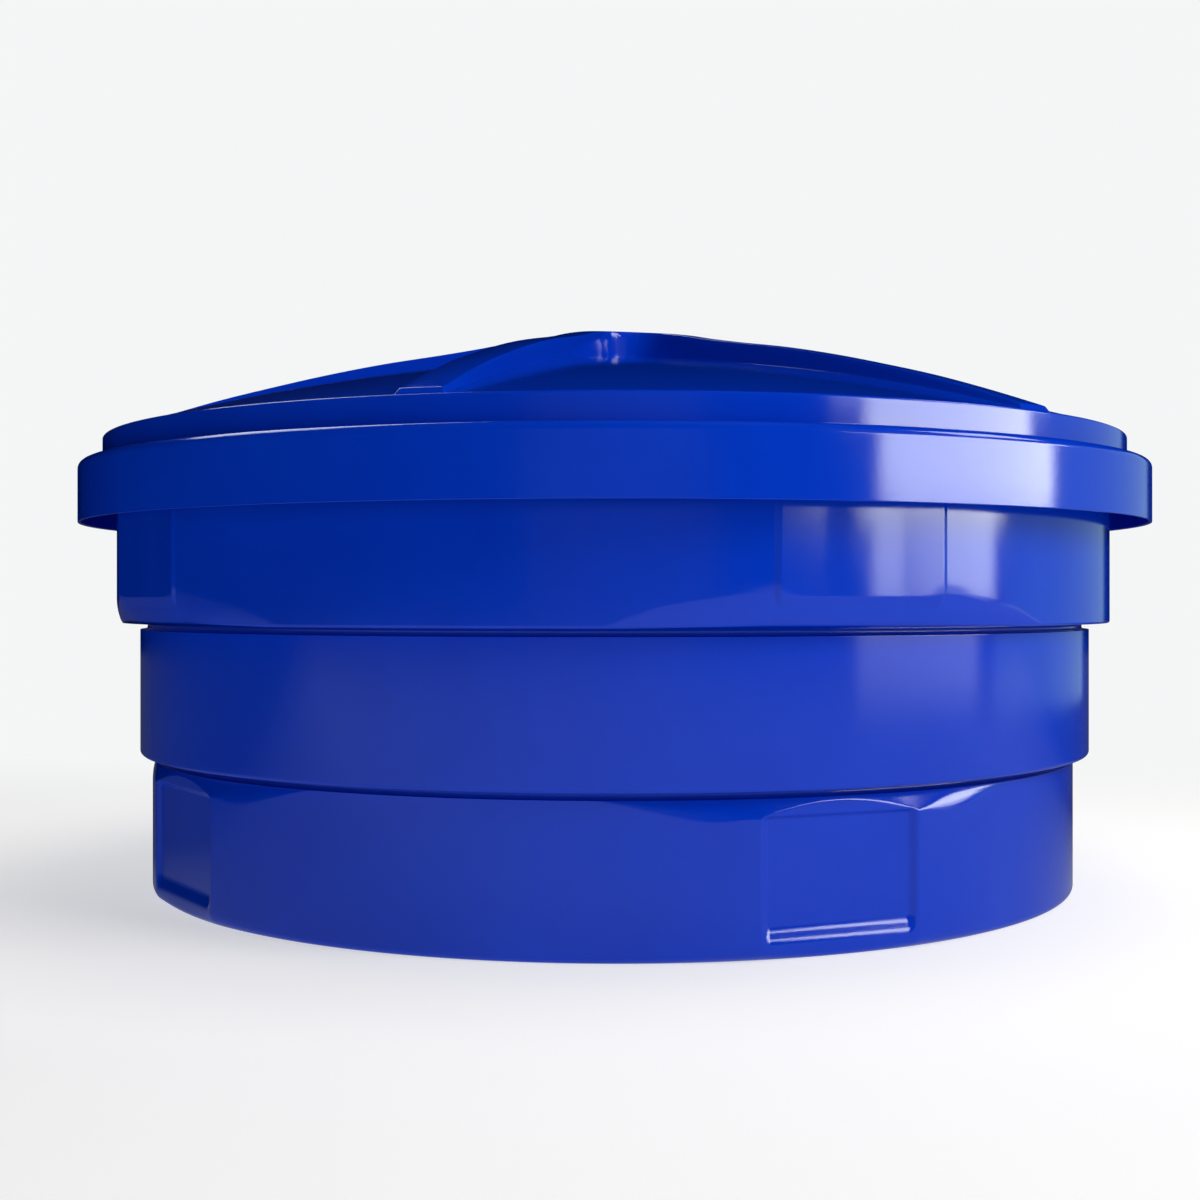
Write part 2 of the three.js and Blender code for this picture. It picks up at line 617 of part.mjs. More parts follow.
const tank = new THREE.Group();
tank.add(
  piece("tank_shell", tankShell(), BLUE),
  piece("lid", lidShell(), BLUE),
  floatValve(),
  bulkhead("overflow", OVERFLOW_AZIMUTH, UPPER_FACE, OVERFLOW_Z, BLACK_PLASTIC),
  atPad(OVERFLOW_AZIMUTH, UPPER_FACE, OVERFLOW_Z, [piece("overflow_screen", overflowScreen(), STEEL)]),
  bulkhead("drain", DRAIN_AZIMUTH, LOWER_FACE, DRAIN_Z, BLACK_PLASTIC),
  atPad(DRAIN_AZIMUTH, LOWER_FACE, DRAIN_Z, drainCap()),
);

export default tank;
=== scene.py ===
"""Looks of a round three-tier polyethylene stock-water tank with a ribbed lift-off lid.
Metres, in the part's own frame: +Z up, -Y the front. Azimuths are counted from -Y toward +X."""

import json
import math

import bmesh
import bpy
import numpy as np
from mathutils import Matrix, Vector


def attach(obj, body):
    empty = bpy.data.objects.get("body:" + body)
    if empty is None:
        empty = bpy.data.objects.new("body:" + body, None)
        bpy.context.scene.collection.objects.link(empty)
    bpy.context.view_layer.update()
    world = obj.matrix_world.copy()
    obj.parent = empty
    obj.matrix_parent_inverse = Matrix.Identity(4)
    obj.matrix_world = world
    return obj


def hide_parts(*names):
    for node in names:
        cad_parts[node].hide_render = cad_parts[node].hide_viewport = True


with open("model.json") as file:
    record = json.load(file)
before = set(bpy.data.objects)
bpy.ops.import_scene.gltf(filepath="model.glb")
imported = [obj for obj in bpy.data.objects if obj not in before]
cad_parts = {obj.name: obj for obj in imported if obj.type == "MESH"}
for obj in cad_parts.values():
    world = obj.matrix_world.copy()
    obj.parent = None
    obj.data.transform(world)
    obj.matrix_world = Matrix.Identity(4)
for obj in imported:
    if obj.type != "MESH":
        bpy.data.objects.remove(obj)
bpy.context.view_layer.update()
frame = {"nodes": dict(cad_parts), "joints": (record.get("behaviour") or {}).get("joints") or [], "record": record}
scene = bpy.context.scene
MM = 0.001
TAU = 2 * math.pi

# ---- camera ----
VIEW_AZIMUTH = 16.8
VIEW_YAW = 0.46
CAMERA_DISTANCE = 2.056
CAMERA_HEIGHT = 0.329
LENS = 50.5
SENSOR = 36

camera_data = bpy.data.cameras.new("camera")
camera_data.lens = LENS
camera_data.sensor_width = SENSOR
camera = bpy.data.objects.new("camera", camera_data)
camera.location = (
    CAMERA_DISTANCE * math.sin(math.radians(VIEW_AZIMUTH)),
    -CAMERA_DISTANCE * math.cos(math.radians(VIEW_AZIMUTH)),
    CAMERA_HEIGHT,
)
camera.rotation_euler = (math.radians(90), 0, math.radians(VIEW_AZIMUTH + VIEW_YAW))
scene.collection.objects.link(camera)
scene.camera = camera

# ---- dimensions, in millimetres ----
WALL = 5.0
BASE_R, MIDDLE_R, TOP_R = 540.0, 557.5, 580.0
BASE_TOP, MIDDLE_BOTTOM = 148.0, 155.5
MIDDLE_TOP, TOP_BOTTOM = 296.0, 303.5
GROOVE = 8.0
FOOT_ROUND = 7.0
PAD_ANGLE = 39.7
PAD_HALF_SPAN = math.radians(8.85)
FLARE_SPAN = math.radians(15)
LOWER_PROUD, UPPER_PROUD = 8.0, 6.0
LOWER_SHOULDER = 17.0
UPPER_SLOPE, UPPER_UNDERCUT = 0.5, 6.0
PAD_RECESS, PAD_FRAME = 4.5, 2.0
POCKET_BOTTOM, POCKET_TOP = 17.0, 133.0
POCKET_SIDE_DRAFT, POCKET_FOOT_DRAFT, POCKET_TOP_DRAFT = 6.0, 12.0, 3.6
PANEL_RISE, PANEL_FOOT = 3.0, 322.0
PANEL_SIDE_DRAFT, PANEL_FOOT_DRAFT = 5.6, 9.0
RIM_TOP, RIM_THICKNESS, RIM_R, LIP_BOTTOM = 478.7, 6.0, 612.0, 458.0

LID_WALL = 4.0
SKIRT_R, SKIRT_BOTTOM, SKIRT_ROUND = 625.3, 415.5, 8.0
SHELF_TOP, STEP_R, STEP_TOP = 483.0, 598.6, 511.0
DOME_TOP, DOME_SLOPE, DOME_CURVE = 615.6, 0.0585, 0.000198
RIB_HALF_HUB, RIB_HALF_END, RIB_END_R, RIB_FILLET = 22.5, 24.5, 594.0, 40.0
CREST_R = [0, 60, 90, 130, 170, 210, 285, 351, 410, 470, 535, RIB_END_R]
CREST_Z = [647.4, 646.6, 643.5, 637, 628.2, 620.2, 606.1, 591.1, 575.8, 559.1, 538.2, 517.5]
CROWN, RIB_WALL, RIB_EDGE = 1.5, 3.6, 0.26
HUB_R, HUB_TOP = 39.0, 648.6


# ---- mesh building ----
def add_mesh(name, vertices, faces, smooth=True):
    mesh = bpy.data.meshes.new(name)
    mesh.from_pydata([tuple(v) for v in vertices], [], faces)
    mesh.update()
    if smooth:
        mesh.polygons.foreach_set("use_smooth", [True] * len(mesh.polygons))
    obj = bpy.data.objects.new(name, mesh)
    scene.collection.objects.link(obj)
    return obj


def grid_faces(rows, cols, first=0):
    """Quads of a grid that closes round on itself along its columns."""
    i, j = np.meshgrid(np.arange(rows - 1), np.arange(cols), indexing="ij")
    a = first + i * cols + j
    b = first + i * cols + (j + 1) % cols
    return np.stack([a, b, b + cols, a + cols], axis=-1).reshape(-1, 4)


def skin(rings, caps=True):
    """Vertices and faces of a closed body from rings that run so that its outside faces out."""
    rings = np.asarray(rings, float)
    rows, cols = rings.shape[:2]
    faces = grid_faces(rows, cols).tolist()
    if caps:
        faces.append(list(range(cols))[::-1])
        faces.append(list(range((rows - 1) * cols, rows * cols)))
    return rings.reshape(-1, 3), faces


def merge(parts):
    """Several (vertices, faces) as one."""
    vertices, faces, count = [], [], 0
    for v, f in parts:
        vertices.append(np.asarray(v, float))
        faces += [[k + count for k in face] for face in f]
        count += len(v)
    return np.concatenate(vertices), faces


def rounded(points, steps=6):
    """A polyline from (x, y, radius) corners, each corner turned by an arc."""
    out = []
    last = len(points) - 1
    for i, (x, y, radius) in enumerate(points):
        p = np.array([x, y], float)
        if radius <= 0 or i in (0, last):
            out.append(p)
            continue
        a = np.array(points[i - 1][:2], float) - p
        b = np.array(points[i + 1][:2], float) - p
        la, lb = np.linalg.norm(a), np.linalg.norm(b)
        a, b = a / la, b / lb
        half = 0.5 * math.acos(max(-1.0, min(1.0, float(a @ b))))
        reach = min(radius / math.tan(half), 0.48 * la, 0.48 * lb)
        radius = reach * math.tan(half)
        centre = p + (a + b) / np.linalg.norm(a + b) * radius / math.sin(half)
        start, end = p + a * reach - centre, p + b * reach - centre
        turn = math.atan2(start[0] * end[1] - start[1] * end[0], float(start @ end))
        for k in range(steps + 1):
            c, s = math.cos(turn * k / steps), math.sin(turn * k / steps)
            out.append(centre + np.array([c * start[0] - s * start[1], s * start[0] + c * start[1]]))
    return np.array(out)


def split_long(profile, longest):
    """The same polyline with its long stretches divided."""
    out = [profile[0]]
    for a, b in zip(profile[:-1], profile[1:]):
        n = max(1, int(math.ceil(np.linalg.norm(b - a) / longest)))
        out += [a + (b - a) * k / n for k in range(1, n + 1)]
    return np.array(out)


def braced(profile, near=0.4, longer=2.5):
    """The same polyline with a point close to each end of its long stretches, so flats shade flat."""
    out = [profile[0]]
    for a, b in zip(profile[:-1], profile[1:]):
        length = np.linalg.norm(b - a)
        if length > longer:
            step = (b - a) / length * near
            out += [a + step, b - step]
        out.append(b)
    return np.array(out)


def smooth_min(a, b, k):
    k = np.maximum(k, 1e-6)
    h = np.clip(0.5 + 0.5 * (b - a) / k, 0, 1)
    return b * (1 - h) + a * h - k * h * (1 - h)


def smoothstep(t):
    t = np.clip(t, 0, 1)
    return t * t * (3 - 2 * t)


# ---- tank shell ----
PADS = [PAD_ANGLE, -PAD_ANGLE, 180 - PAD_ANGLE, PAD_ANGLE - 180]
PAD_EDGE_FROM, PAD_EDGE_TO, PAD_EDGE_STEP = 7.1, 9.3, 0.06
FLAT_REACH = 0.6
DRAFT_CORNER = 1.5
FOOT_FADE = 15.0
# Rows up the walls as (from, to, step), close together where the pads have their edges.
WALL_ROWS = (
    (8, 15, 1.2), (15, 33, 0.6), (33, 126, 8), (126, 148, 0.8),
    (155, 296, 14), (303, 335, 0.8), (335, 480, 9),
)


def shell_azimuths():
    """Columns: every half degree, and finer across each pad's upright edges."""
    angles = list(np.arange(0, 360, 0.5))
    for pad in PADS:
        for side in (-1, 1):
            angles += [(pad + side * a) % 360 for a in np.arange(PAD_EDGE_FROM, PAD_EDGE_TO, PAD_EDGE_STEP)]
    angles = np.sort(np.array(angles))
    keep = np.concatenate([[True], np.diff(angles) > 0.02])
    return np.radians(angles[keep])


def soft_ramp(t, k):
    """0 to 1 with both ends eased over k."""
    t = smooth_min(t, 1.0 + 0 * t, k)
    return -smooth_min(-t, 0 * t, k)


def rounded_inside(across, up):
    """Distance inside a rectangle with rounded corners, from the distances inside its sides."""
    a, b = DRAFT_CORNER - across, DRAFT_CORNER - up
    outside = np.hypot(np.maximum(a, 0), np.maximum(b, 0))
    return DRAFT_CORNER - outside - np.minimum(np.maximum(a, b), 0)


def pad_offset(pad_phi, z, tier_r, lower):
    """How far the wall stands outside the tier's circle, at angles from the nearest pad and heights."""
    a = np.abs(pad_phi)[None, :]
    z = z[:, None]
    proud = LOWER_PROUD if lower else UPPER_PROUD
    corner = tier_r + proud
    plane = corner * math.cos(PAD_HALF_SPAN)
    toward = np.minimum(a, FLAT_REACH)
    front = plane / np.cos(toward) - tier_r
    along = (a - PAD_HALF_SPAN) / FLARE_SPAN
    beside = proud * (1 - along)
    excess = smooth_min(front, beside, 0.5)
    excess = -smooth_min(-excess, 0 * excess, 0.6 + 0 * excess)
    excess = np.where(along > 1.2, 0.0, excess)
    lateral = plane * np.tan(toward)
    half_width = corner * math.sin(PAD_HALF_SPAN)
    if lower:
        limit = proud * (BASE_TOP - z) / LOWER_SHOULDER
        crease = 0.6 + 4.4 * smoothstep(3 * along)
        excess = smooth_min(excess, limit, np.minimum(excess * 1.1, crease))
        excess = np.maximum(excess, 0) * (1 - np.clip(1 - z / FOOT_FADE, 0, 1) ** 2)
        sides = (half_width - PAD_FRAME - lateral) / POCKET_SIDE_DRAFT
        bottom = (z - POCKET_BOTTOM) / POCKET_FOOT_DRAFT
        top = (POCKET_TOP - z) / POCKET_TOP_DRAFT
        inside = rounded_inside(sides, smooth_min(bottom, top, 0.2))
        return excess - PAD_RECESS * soft_ramp(inside, 0.34)
    reach = np.clip(1 - along, 0, 1)
    limit = UPPER_SLOPE * (z - TOP_BOTTOM) - UPPER_UNDERCUT * reach
    cut = smooth_min(excess, limit, 6.5 * np.clip(reach * 3, 0.02, 1))
    excess = np.where(reach > 0, cut, excess)
    sides = (half_width - lateral) / PANEL_SIDE_DRAFT
    bottom = (z - PANEL_FOOT) / PANEL_FOOT_DRAFT
    inside = rounded_inside(sides, bottom)
    return excess + PANEL_RISE * soft_ramp(inside, 0.18)


def rows_between(start, end):
    """Heights up an upright wall, in the order that its profile runs."""
    low, high = sorted((start, end))
    rows = [z for first, last, step in WALL_ROWS for z in np.arange(first, last, step)]
    rows = [z for z in rows if low + 0.3 < z < high - 0.3]
    return rows if start < end else rows[::-1]


def tank_shell():
    """One body: up the outside, over the rim and down the inside, with the pads pushed out of the tiers."""
    az = shell_azimuths()
    degrees = np.degrees(az)
    offsets = np.array([(degrees - pad + 180) % 360 - 180 for pad in PADS])
    nearest = np.radians(offsets[np.argmin(np.abs(offsets), axis=0), np.arange(len(az))])
    lip_in = RIM_R - WALL
    section = rounded([
        (0.2, 0, 0),
        (BASE_R, 0, FOOT_ROUND),
        (BASE_R, BASE_TOP, 0.15),
        (BASE_R - GROOVE, BASE_TOP, 3.6),
        (BASE_R - GROOVE, MIDDLE_BOTTOM, 3.6),
        (MIDDLE_R, MIDDLE_BOTTOM, 4),
        (MIDDLE_R, MIDDLE_TOP, 0.15),
        (MIDDLE_R - GROOVE, MIDDLE_TOP, 3.6),
        (MIDDLE_R - GROOVE, TOP_BOTTOM, 3.6),
        (TOP_R, TOP_BOTTOM, 2.5),
        (TOP_R, RIM_TOP - RIM_THICKNESS, 3),
        (lip_in, RIM_TOP - RIM_THICKNESS, 2),
        (lip_in, LIP_BOTTOM, 2),
        (RIM_R, LIP_BOTTOM, 2),
        (RIM_R, RIM_TOP, 3),
        (TOP_R - WALL, RIM_TOP, 2.5),
        (TOP_R - WALL, TOP_BOTTOM + WALL, 4),
        (MIDDLE_R - GROOVE - WALL, TOP_BOTTOM + WALL, 2.5),
        (MIDDLE_R - GROOVE - WALL, MIDDLE_TOP - WALL, 2.5),
        (MIDDLE_R - WALL, MIDDLE_TOP - WALL, 4),
        (MIDDLE_R - WALL, MIDDLE_BOTTOM + WALL, 4),
        (BASE_R - GROOVE - WALL, MIDDLE_BOTTOM + WALL, 2.5),
        (BASE_R - GROOVE - WALL, BASE_TOP - WALL, 2.5),
        (BASE_R - WALL, BASE_TOP - WALL, 4),
        (BASE_R - WALL, WALL, 9),
        (0.2, WALL, 0),
    ])
    section = braced(section)
    profile = [section[0]]
    for a, b in zip(section[:-1], section[1:]):
        upright = abs(a[0] - b[0]) < 0.01
        if not upright:
            n = max(1, int(math.ceil(np.linalg.norm(b - a) / 40)))
            profile += [a + (b - a) * k / n for k in range(1, n + 1)]
            continue
        profile += [np.array([a[0], z]) for z in rows_between(a[1], b[1])] + [b]
    profile = np.array(profile)
    r0, z0 = profile[:, 0], profile[:, 1]
    radius = np.repeat(r0[:, None], len(az), axis=1)
    low_rows = (z0 < BASE_TOP) & (r0 > BASE_R - WALL - 1.5)
    high_rows = (z0 > TOP_BOTTOM) & (r0 > TOP_R - WALL - 3)
    radius[low_rows] += pad_offset(nearest, z0[low_rows], BASE_R, True)
    fade = np.clip((600 - r0) / 18, 0, 1)[:, None]
    radius[high_rows] += pad_offset(nearest, z0[high_rows], TOP_R, False) * fade[high_rows]
    z = np.repeat(z0[:, None], len(az), axis=1)
    rings = np.stack([radius * np.sin(az), -radius * np.cos(az), z], axis=-1) * MM
    return skin(rings)


def open_round(mesh_parts, centre, axis, radius):
    """Takes away the faces that lie wholly inside a round hole through the wall."""
    vertices, faces = mesh_parts
    away = vertices - np.array(centre)
    along = away @ np.array(axis)
    across = np.linalg.norm(away - along[:, None] * np.array(axis), axis=1)
    inside = (across < radius) & (np.abs(along) < 0.03)
    kept = [f for f in faces if not all(inside[k] for k in f)]
    return vertices, kept


# ---- lid ----
def natural_curve(xs, ys, n=400):
    """A smooth curve through the points, as fine samples."""
    xs, ys = np.array(xs, float), np.array(ys, float)
    t = np.linspace(xs[0], xs[-1], n)
    slopes = np.gradient(ys, xs)
    slopes[0] = 0
    k = np.clip(np.searchsorted(xs, t) - 1, 0, len(xs) - 2)
    h = xs[k + 1] - xs[k]
    u = (t - xs[k]) / h
    h00, h10 = 2 * u**3 - 3 * u**2 + 1, u**3 - 2 * u**2 + u
    h01, h11 = -2 * u**3 + 3 * u**2, u**3 - u**2
    return t, h00 * ys[k] + h10 * h * slopes[k] + h01 * ys[k + 1] + h11 * h * slopes[k + 1]


CREST_FINE_R, CREST_FINE_Z = natural_curve(CREST_R, CREST_Z)


def crest_height(r):
    return np.interp(r, CREST_FINE_R, CREST_FINE_Z)


def rib_half(r):
    return RIB_HALF_HUB + (RIB_HALF_END - RIB_HALF_HUB) * np.clip((r - 90) / 500, 0, 1)


def star_distance(r, phi, inset):
    """Distance inside the outline that the six ribs share. phi is the angle to the nearest rib."""
    width = rib_half(r) - inset
    fillet = RIB_FILLET + inset
    x, y = r * np.cos(phi), r * np.sin(phi)
    hub_width = RIB_HALF_HUB - inset
    reach = (hub_width + fillet) / math.sin(math.pi / 6)
    cx, cy = reach * math.cos(math.pi / 6), hub_width + fillet
    beside = width - y
    corner = np.hypot(x - cx, y - cy) - fillet
    d = np.where(x < cx, corner, beside)
    return smooth_min(d, RIB_END_R - inset - x, 2.0)


def lid_height(r, phi, inset=0.0):
    """Height of the lid's top, or of its underside one wall in."""
    dome = DOME_TOP - DOME_SLOPE * r - DOME_CURVE * r * r - inset
    d = star_distance(r, phi, inset)
    over = np.clip(d / (rib_half(r) - inset), 0, 1)
    top = crest_height(r) - CROWN * (1 - over) ** 2 - inset
    z = dome + (top - dome) * soft_ramp((d + 0.8) / RIB_WALL, RIB_EDGE)
    hub_edge = (HUB_R - inset - r) / 2.0
    hub = HUB_TOP - inset - 0.6 * (np.minimum(r, 40) / 40) ** 2
    return z + np.maximum(hub - z, 0) * smoothstep(hub_edge)


def lid_columns(radii):
    """Angles from the rib line at each radius, gathered where the rib's side is."""
    fine = np.radians(np.linspace(0, 30, 1201))
    out = []
    for r in radii:
        d = star_distance(np.full_like(fine, r), fine, 0.0)
        outside = np.nonzero(d < 0)[0]
        edge = math.degrees(fine[outside[0]]) if len(outside) else 30.0
        if r > RIB_END_R - 6:
            edge = math.degrees(math.asin(RIB_HALF_END / r))
        a = min(max(edge - math.degrees(7.0 / r), edge * 0.35), 22)
        b = min(edge + math.degrees(3.0 / r), 27)
        b = max(b, a + 1.0)
        half = np.concatenate([
            np.linspace(0, a, 12, endpoint=False),
            np.linspace(a, b, 26, endpoint=False),
            np.linspace(b, 30, 16, endpoint=False),
        ])
        whole = np.concatenate([half, 60 - np.concatenate([half[1:], [30]])[::-1]])
        out.append(whole)
    return np.array(out)


def lid_shell():
    """One body: the underside from the middle out, round the skirt and step, and the top back in."""
    step_in = STEP_R - 2.5
    heights_r = np.concatenate([
        np.arange(0.5, 34, 4), np.arange(34, 42, 0.7), np.arange(43, 132, 2.0), np.arange(135, 575, 9),
        np.arange(578, 586, 2), np.arange(586, 595.6, 0.5), [step_in],
    ])
    under_r = heights_r[heights_r < 588]
    rim = rounded([
        (588, SHELF_TOP + 20, 0),
        (STEP_R - LID_WALL, STEP_TOP - LID_WALL - 0.5, 2),
        (STEP_R - LID_WALL, SHELF_TOP - LID_WALL, 3),
        (SKIRT_R - LID_WALL, SHELF_TOP - LID_WALL, 4),
        (SKIRT_R - LID_WALL, SKIRT_BOTTOM, 1.2),
        (SKIRT_R, SKIRT_BOTTOM, 0.4),
        (SKIRT_R, SHELF_TOP, SKIRT_ROUND),
        (STEP_R, SHELF_TOP, 2.5),
        (STEP_R, STEP_TOP, 2.2),
        (step_in - 1.5, STEP_TOP + 0.4, 0),
    ])
    rim = split_long(braced(rim[1:-1]), 16)
    radii = np.concatenate([under_r, rim[:, 0], heights_r[::-1]])
    degrees = lid_columns(radii)
    near = np.radians(np.where(degrees > 30, 60 - degrees, degrees))
    count_u, count_r = len(under_r), len(rim)
    z = np.zeros_like(near)
    z[:count_u] = lid_height(under_r[:, None], near[:count_u], LID_WALL)
    z[count_u:count_u + count_r] = rim[:, 1][:, None]
    top_r = heights_r[::-1]
    z[count_u + count_r:] = lid_height(top_r[:, None], near[count_u + count_r:])
    azimuth = np.concatenate([np.radians(degrees + 60 * k) for k in range(6)], axis=1)
    height = np.concatenate([z] * 6, axis=1)
    r = radii[:, None]
    rings = np.stack([r * np.sin(azimuth), -r * np.cos(azimuth), height], axis=-1) * MM
    return skin(rings)


# ---- turned and hexagonal fittings, along a local X axis ----
def turned(points, steps=72, corner_steps=5, longest=1e9, shape=None, bored=False):
    """A body turned about local X from (radius, x, fillet) corners. shape changes the radius by angle and x.
    A bored body's profile runs right round its section, so it needs no caps."""
    profile = split_long(braced(rounded(points, corner_steps), 0.15, 1.2), longest)
    angle = np.linspace(0, TAU, steps, endpoint=False)
    r = np.repeat(profile[:, 0][:, None], steps, axis=1)
    x = np.repeat(profile[:, 1][:, None], steps, axis=1)
    if shape is not None:
        r = shape(r, x, angle[None, :])
    rings = np.stack([x, r * np.cos(angle), r * np.sin(angle)], axis=-1) * MM
    if not bored:
        return skin(rings)
    rows = len(rings)
    faces = grid_faces(rows, steps).tolist()
    return rings.reshape(-1, 3), faces + closing_faces(rows, steps)


def closing_faces(rows, cols):
    """The quads that join a grid's last ring to its first."""
    j = np.arange(cols)
    last = (rows - 1) * cols
    return np.stack([last + j, last + (j + 1) % cols, (j + 1) % cols, j], axis=-1).tolist()


def tube(outer, inner, start, end, fillet=0.8, steps=72):
    """A short round ring: the profile runs round its section, so it needs no caps."""
    mid = (start + end) / 2
    profile = rounded([
        (inner, mid, 0), (inner, start, fillet), (outer, start, fillet),
        (outer, end, fillet), (inner, end, fillet), (inner, mid, 0),
    ], 4)[:-1]
    angle = np.linspace(0, TAU, steps, endpoint=False)
    r, x = profile[:, 0][:, None], profile[:, 1][:, None]
    rings = np.stack([x + 0 * angle, r * np.cos(angle), r * np.sin(angle)], axis=-1) * MM
    rows = len(profile)
    return rings.reshape(-1, 3), grid_faces(rows, steps).tolist() + closing_faces(rows, steps)


def thread_shape(major, depth, pitch, start, end):
    """Cuts a running thread in the outside of a turned body between two stations."""
    def shape(r, x, angle):
        wave = (x / pitch - angle / TAU) % 1.0
        tooth = np.clip(1.5 - np.abs(wave - 0.5) * 4.4, 0, 1)
        fade = smoothstep((x - start) / pitch) * smoothstep((end - x) / pitch)
        on = (r > major - 0.6) * fade
        return r - depth * (1 - tooth) * on
    return shape


def hexagon(flat, bore, start, end, chamfer=1.6, steps=12):
    """A six-sided nut with turned chamfers. flat is half the size across its flats."""
    count = 6 * steps
    angle = np.linspace(0, TAU, count, endpoint=False)
    folded = (angle + TAU / 12) % (TAU / 6) - TAU / 12
    hex_r = flat / np.cos(folded)
    hex_r = np.minimum(hex_r, flat / math.cos(TAU / 12) - 0.25)
    turned_r = flat * 1.03
    mid = (start + end) / 2
    stations = [
        (start, "bore"), (start, "cut"), (start + chamfer, "hex"), (mid, "hex"),
        (end - chamfer, "hex"), (end, "cut"), (end, "bore"),
    ]
    rings = []
    for x, kind in stations:
        if kind == "bore":
            r = np.full(count, bore)
        elif kind == "cut":
            r = np.minimum(hex_r, turned_r - 0.6)
        else:
            r = hex_r
        rings.append(np.stack([np.full(count, x), r * np.cos(angle), r * np.sin(angle)], axis=-1))
    rings = np.array(rings) * MM
    rows = len(rings)
    return rings.reshape(-1, 3), grid_faces(rows, count).tolist() + closing_faces(rows, count)


def slab(low, high, fillet=1.0, steps=3):
    """A block between two corners, with rounded edges."""
    low, high = np.array(low, float), np.array(high, float)
    centre, half = (low + high) / 2, (high - low) / 2
    fillet = min(fillet, *(half * 0.95))
    core = half - fillet
    lat = []
    for top in (-1, 1):
        for k in range(steps + 1):
            a = math.pi / 2 * (k / steps - 1) if top < 0 else math.pi / 2 * k / steps
            lat.append((a, top))
    rings = []
    for a, top in lat:
        ring = []
        for sx, sy, begin in ((1, 1, 0), (-1, 1, 1), (-1, -1, 2), (1, -1, 3)):
            for k in range(steps + 1):
                b = (begin + k / steps) * math.pi / 2
                ring.append([
                    sx * core[0] + fillet * math.cos(a) * math.cos(b),
                    sy * core[1] + fillet * math.cos(a) * math.sin(b),
                    top * core[2] + fillet * math.sin(a),
                ])
        rings.append(ring)
    return skin((np.array(rings) + centre) * MM)


def turned_over(part):
    """The same body with its faces pointing the other way."""
    vertices, faces = part
    return vertices, [face[::-1] for face in faces]


def moved(part, matrix):
    v, f = part
    m = np.array(matrix)
    return v @ m[:3, :3].T + m[:3, 3], f


def fitting_matrix(origin, axis):
    """Local X along the axis, local Z up, from the fitting's place on the pad's face."""
    x = Vector(axis).normalized()
    z = Vector((0, 0, 1))
    y = z.cross(x)
    rotation = Matrix((x, y, z)).transposed().to_4x4()
    return Matrix.Translation(Vector(origin)) @ rotation


# ---- materials ----
def new_material(name, color, roughness, metallic=0.0, ior=1.5, coat=0.0, coat_roughness=0.1, subsurface=0.0):
    material = bpy.data.materials.new(name)
    material.use_nodes = True
    shader = material.node_tree.nodes["Principled BSDF"]
    shader.inputs["Base Color"].default_value = (*color, 1)
    shader.inputs["Roughness"].default_value = roughness
    shader.inputs["Metallic"].default_value = metallic
    shader.inputs["IOR"].default_value = ior
    shader.inputs["Coat Weight"].default_value = coat
    shader.inputs["Coat Roughness"].default_value = coat_roughness
    shader.inputs["Subsurface Weight"].default_value = subsurface
    return material, material.node_tree, shader


def node(tree, kind, **values):
    n = tree.nodes.new(kind)
    for key, value in values.items():
        if key in n.inputs:
            n.inputs[key].default_value = value
        else:
            setattr(n, key, value)
    return n


def coordinates(tree, scale=(1, 1, 1)):
    where = node(tree, "ShaderNodeTexCoord")
    mapping = node(tree, "ShaderNodeMapping", Scale=scale)
    tree.links.new(where.outputs["Object"], mapping.inputs["Vector"])
    return mapping.outputs["Vector"]


def noise(tree, vector, scale, detail=2.0, roughness=0.5):
    n = node(tree, "ShaderNodeTexNoise", Scale=scale, Detail=detail, Roughness=roughness)
    tree.links.new(vector, n.inputs["Vector"])
    return n.outputs["Fac"]


def ramp(tree, fac, stops):
    n = node(tree, "ShaderNodeValToRGB")
    elements = n.color_ramp.elements
    while len(elements) < len(stops):
        elements.new(0.5)
    for element, (place, color) in zip(elements, stops):
        element.position = place
        element.color = (*color, 1) if len(color) == 3 else color
    tree.links.new(fac, n.inputs["Fac"])
    return n.outputs["Color"]


def spread(tree, fac, low, high, start=0.3, end=0.7):
    n = node(tree, "ShaderNodeMapRange")
    for key, value in (("From Min", start), ("From Max", end), ("To Min", low), ("To Max", high)):
        n.inputs[key].default_value = value
    tree.links.new(fac, n.inputs["Value"])
    return n.outputs["Result"]


def bump(tree, shader, heights):
    """A chain of bumps from (height, distance in metres, strength)."""
    normal = None
    for height, distance, strength in heights:
        b = node(tree, "ShaderNodeBump", Distance=distance, Strength=strength)
        tree.links.new(height, b.inputs["Height"])
        if normal is not None:
            tree.links.new(normal, b.inputs["Normal"])
        normal = b.outputs["Normal"]
    tree.links.new(normal, shader.inputs["Normal"])


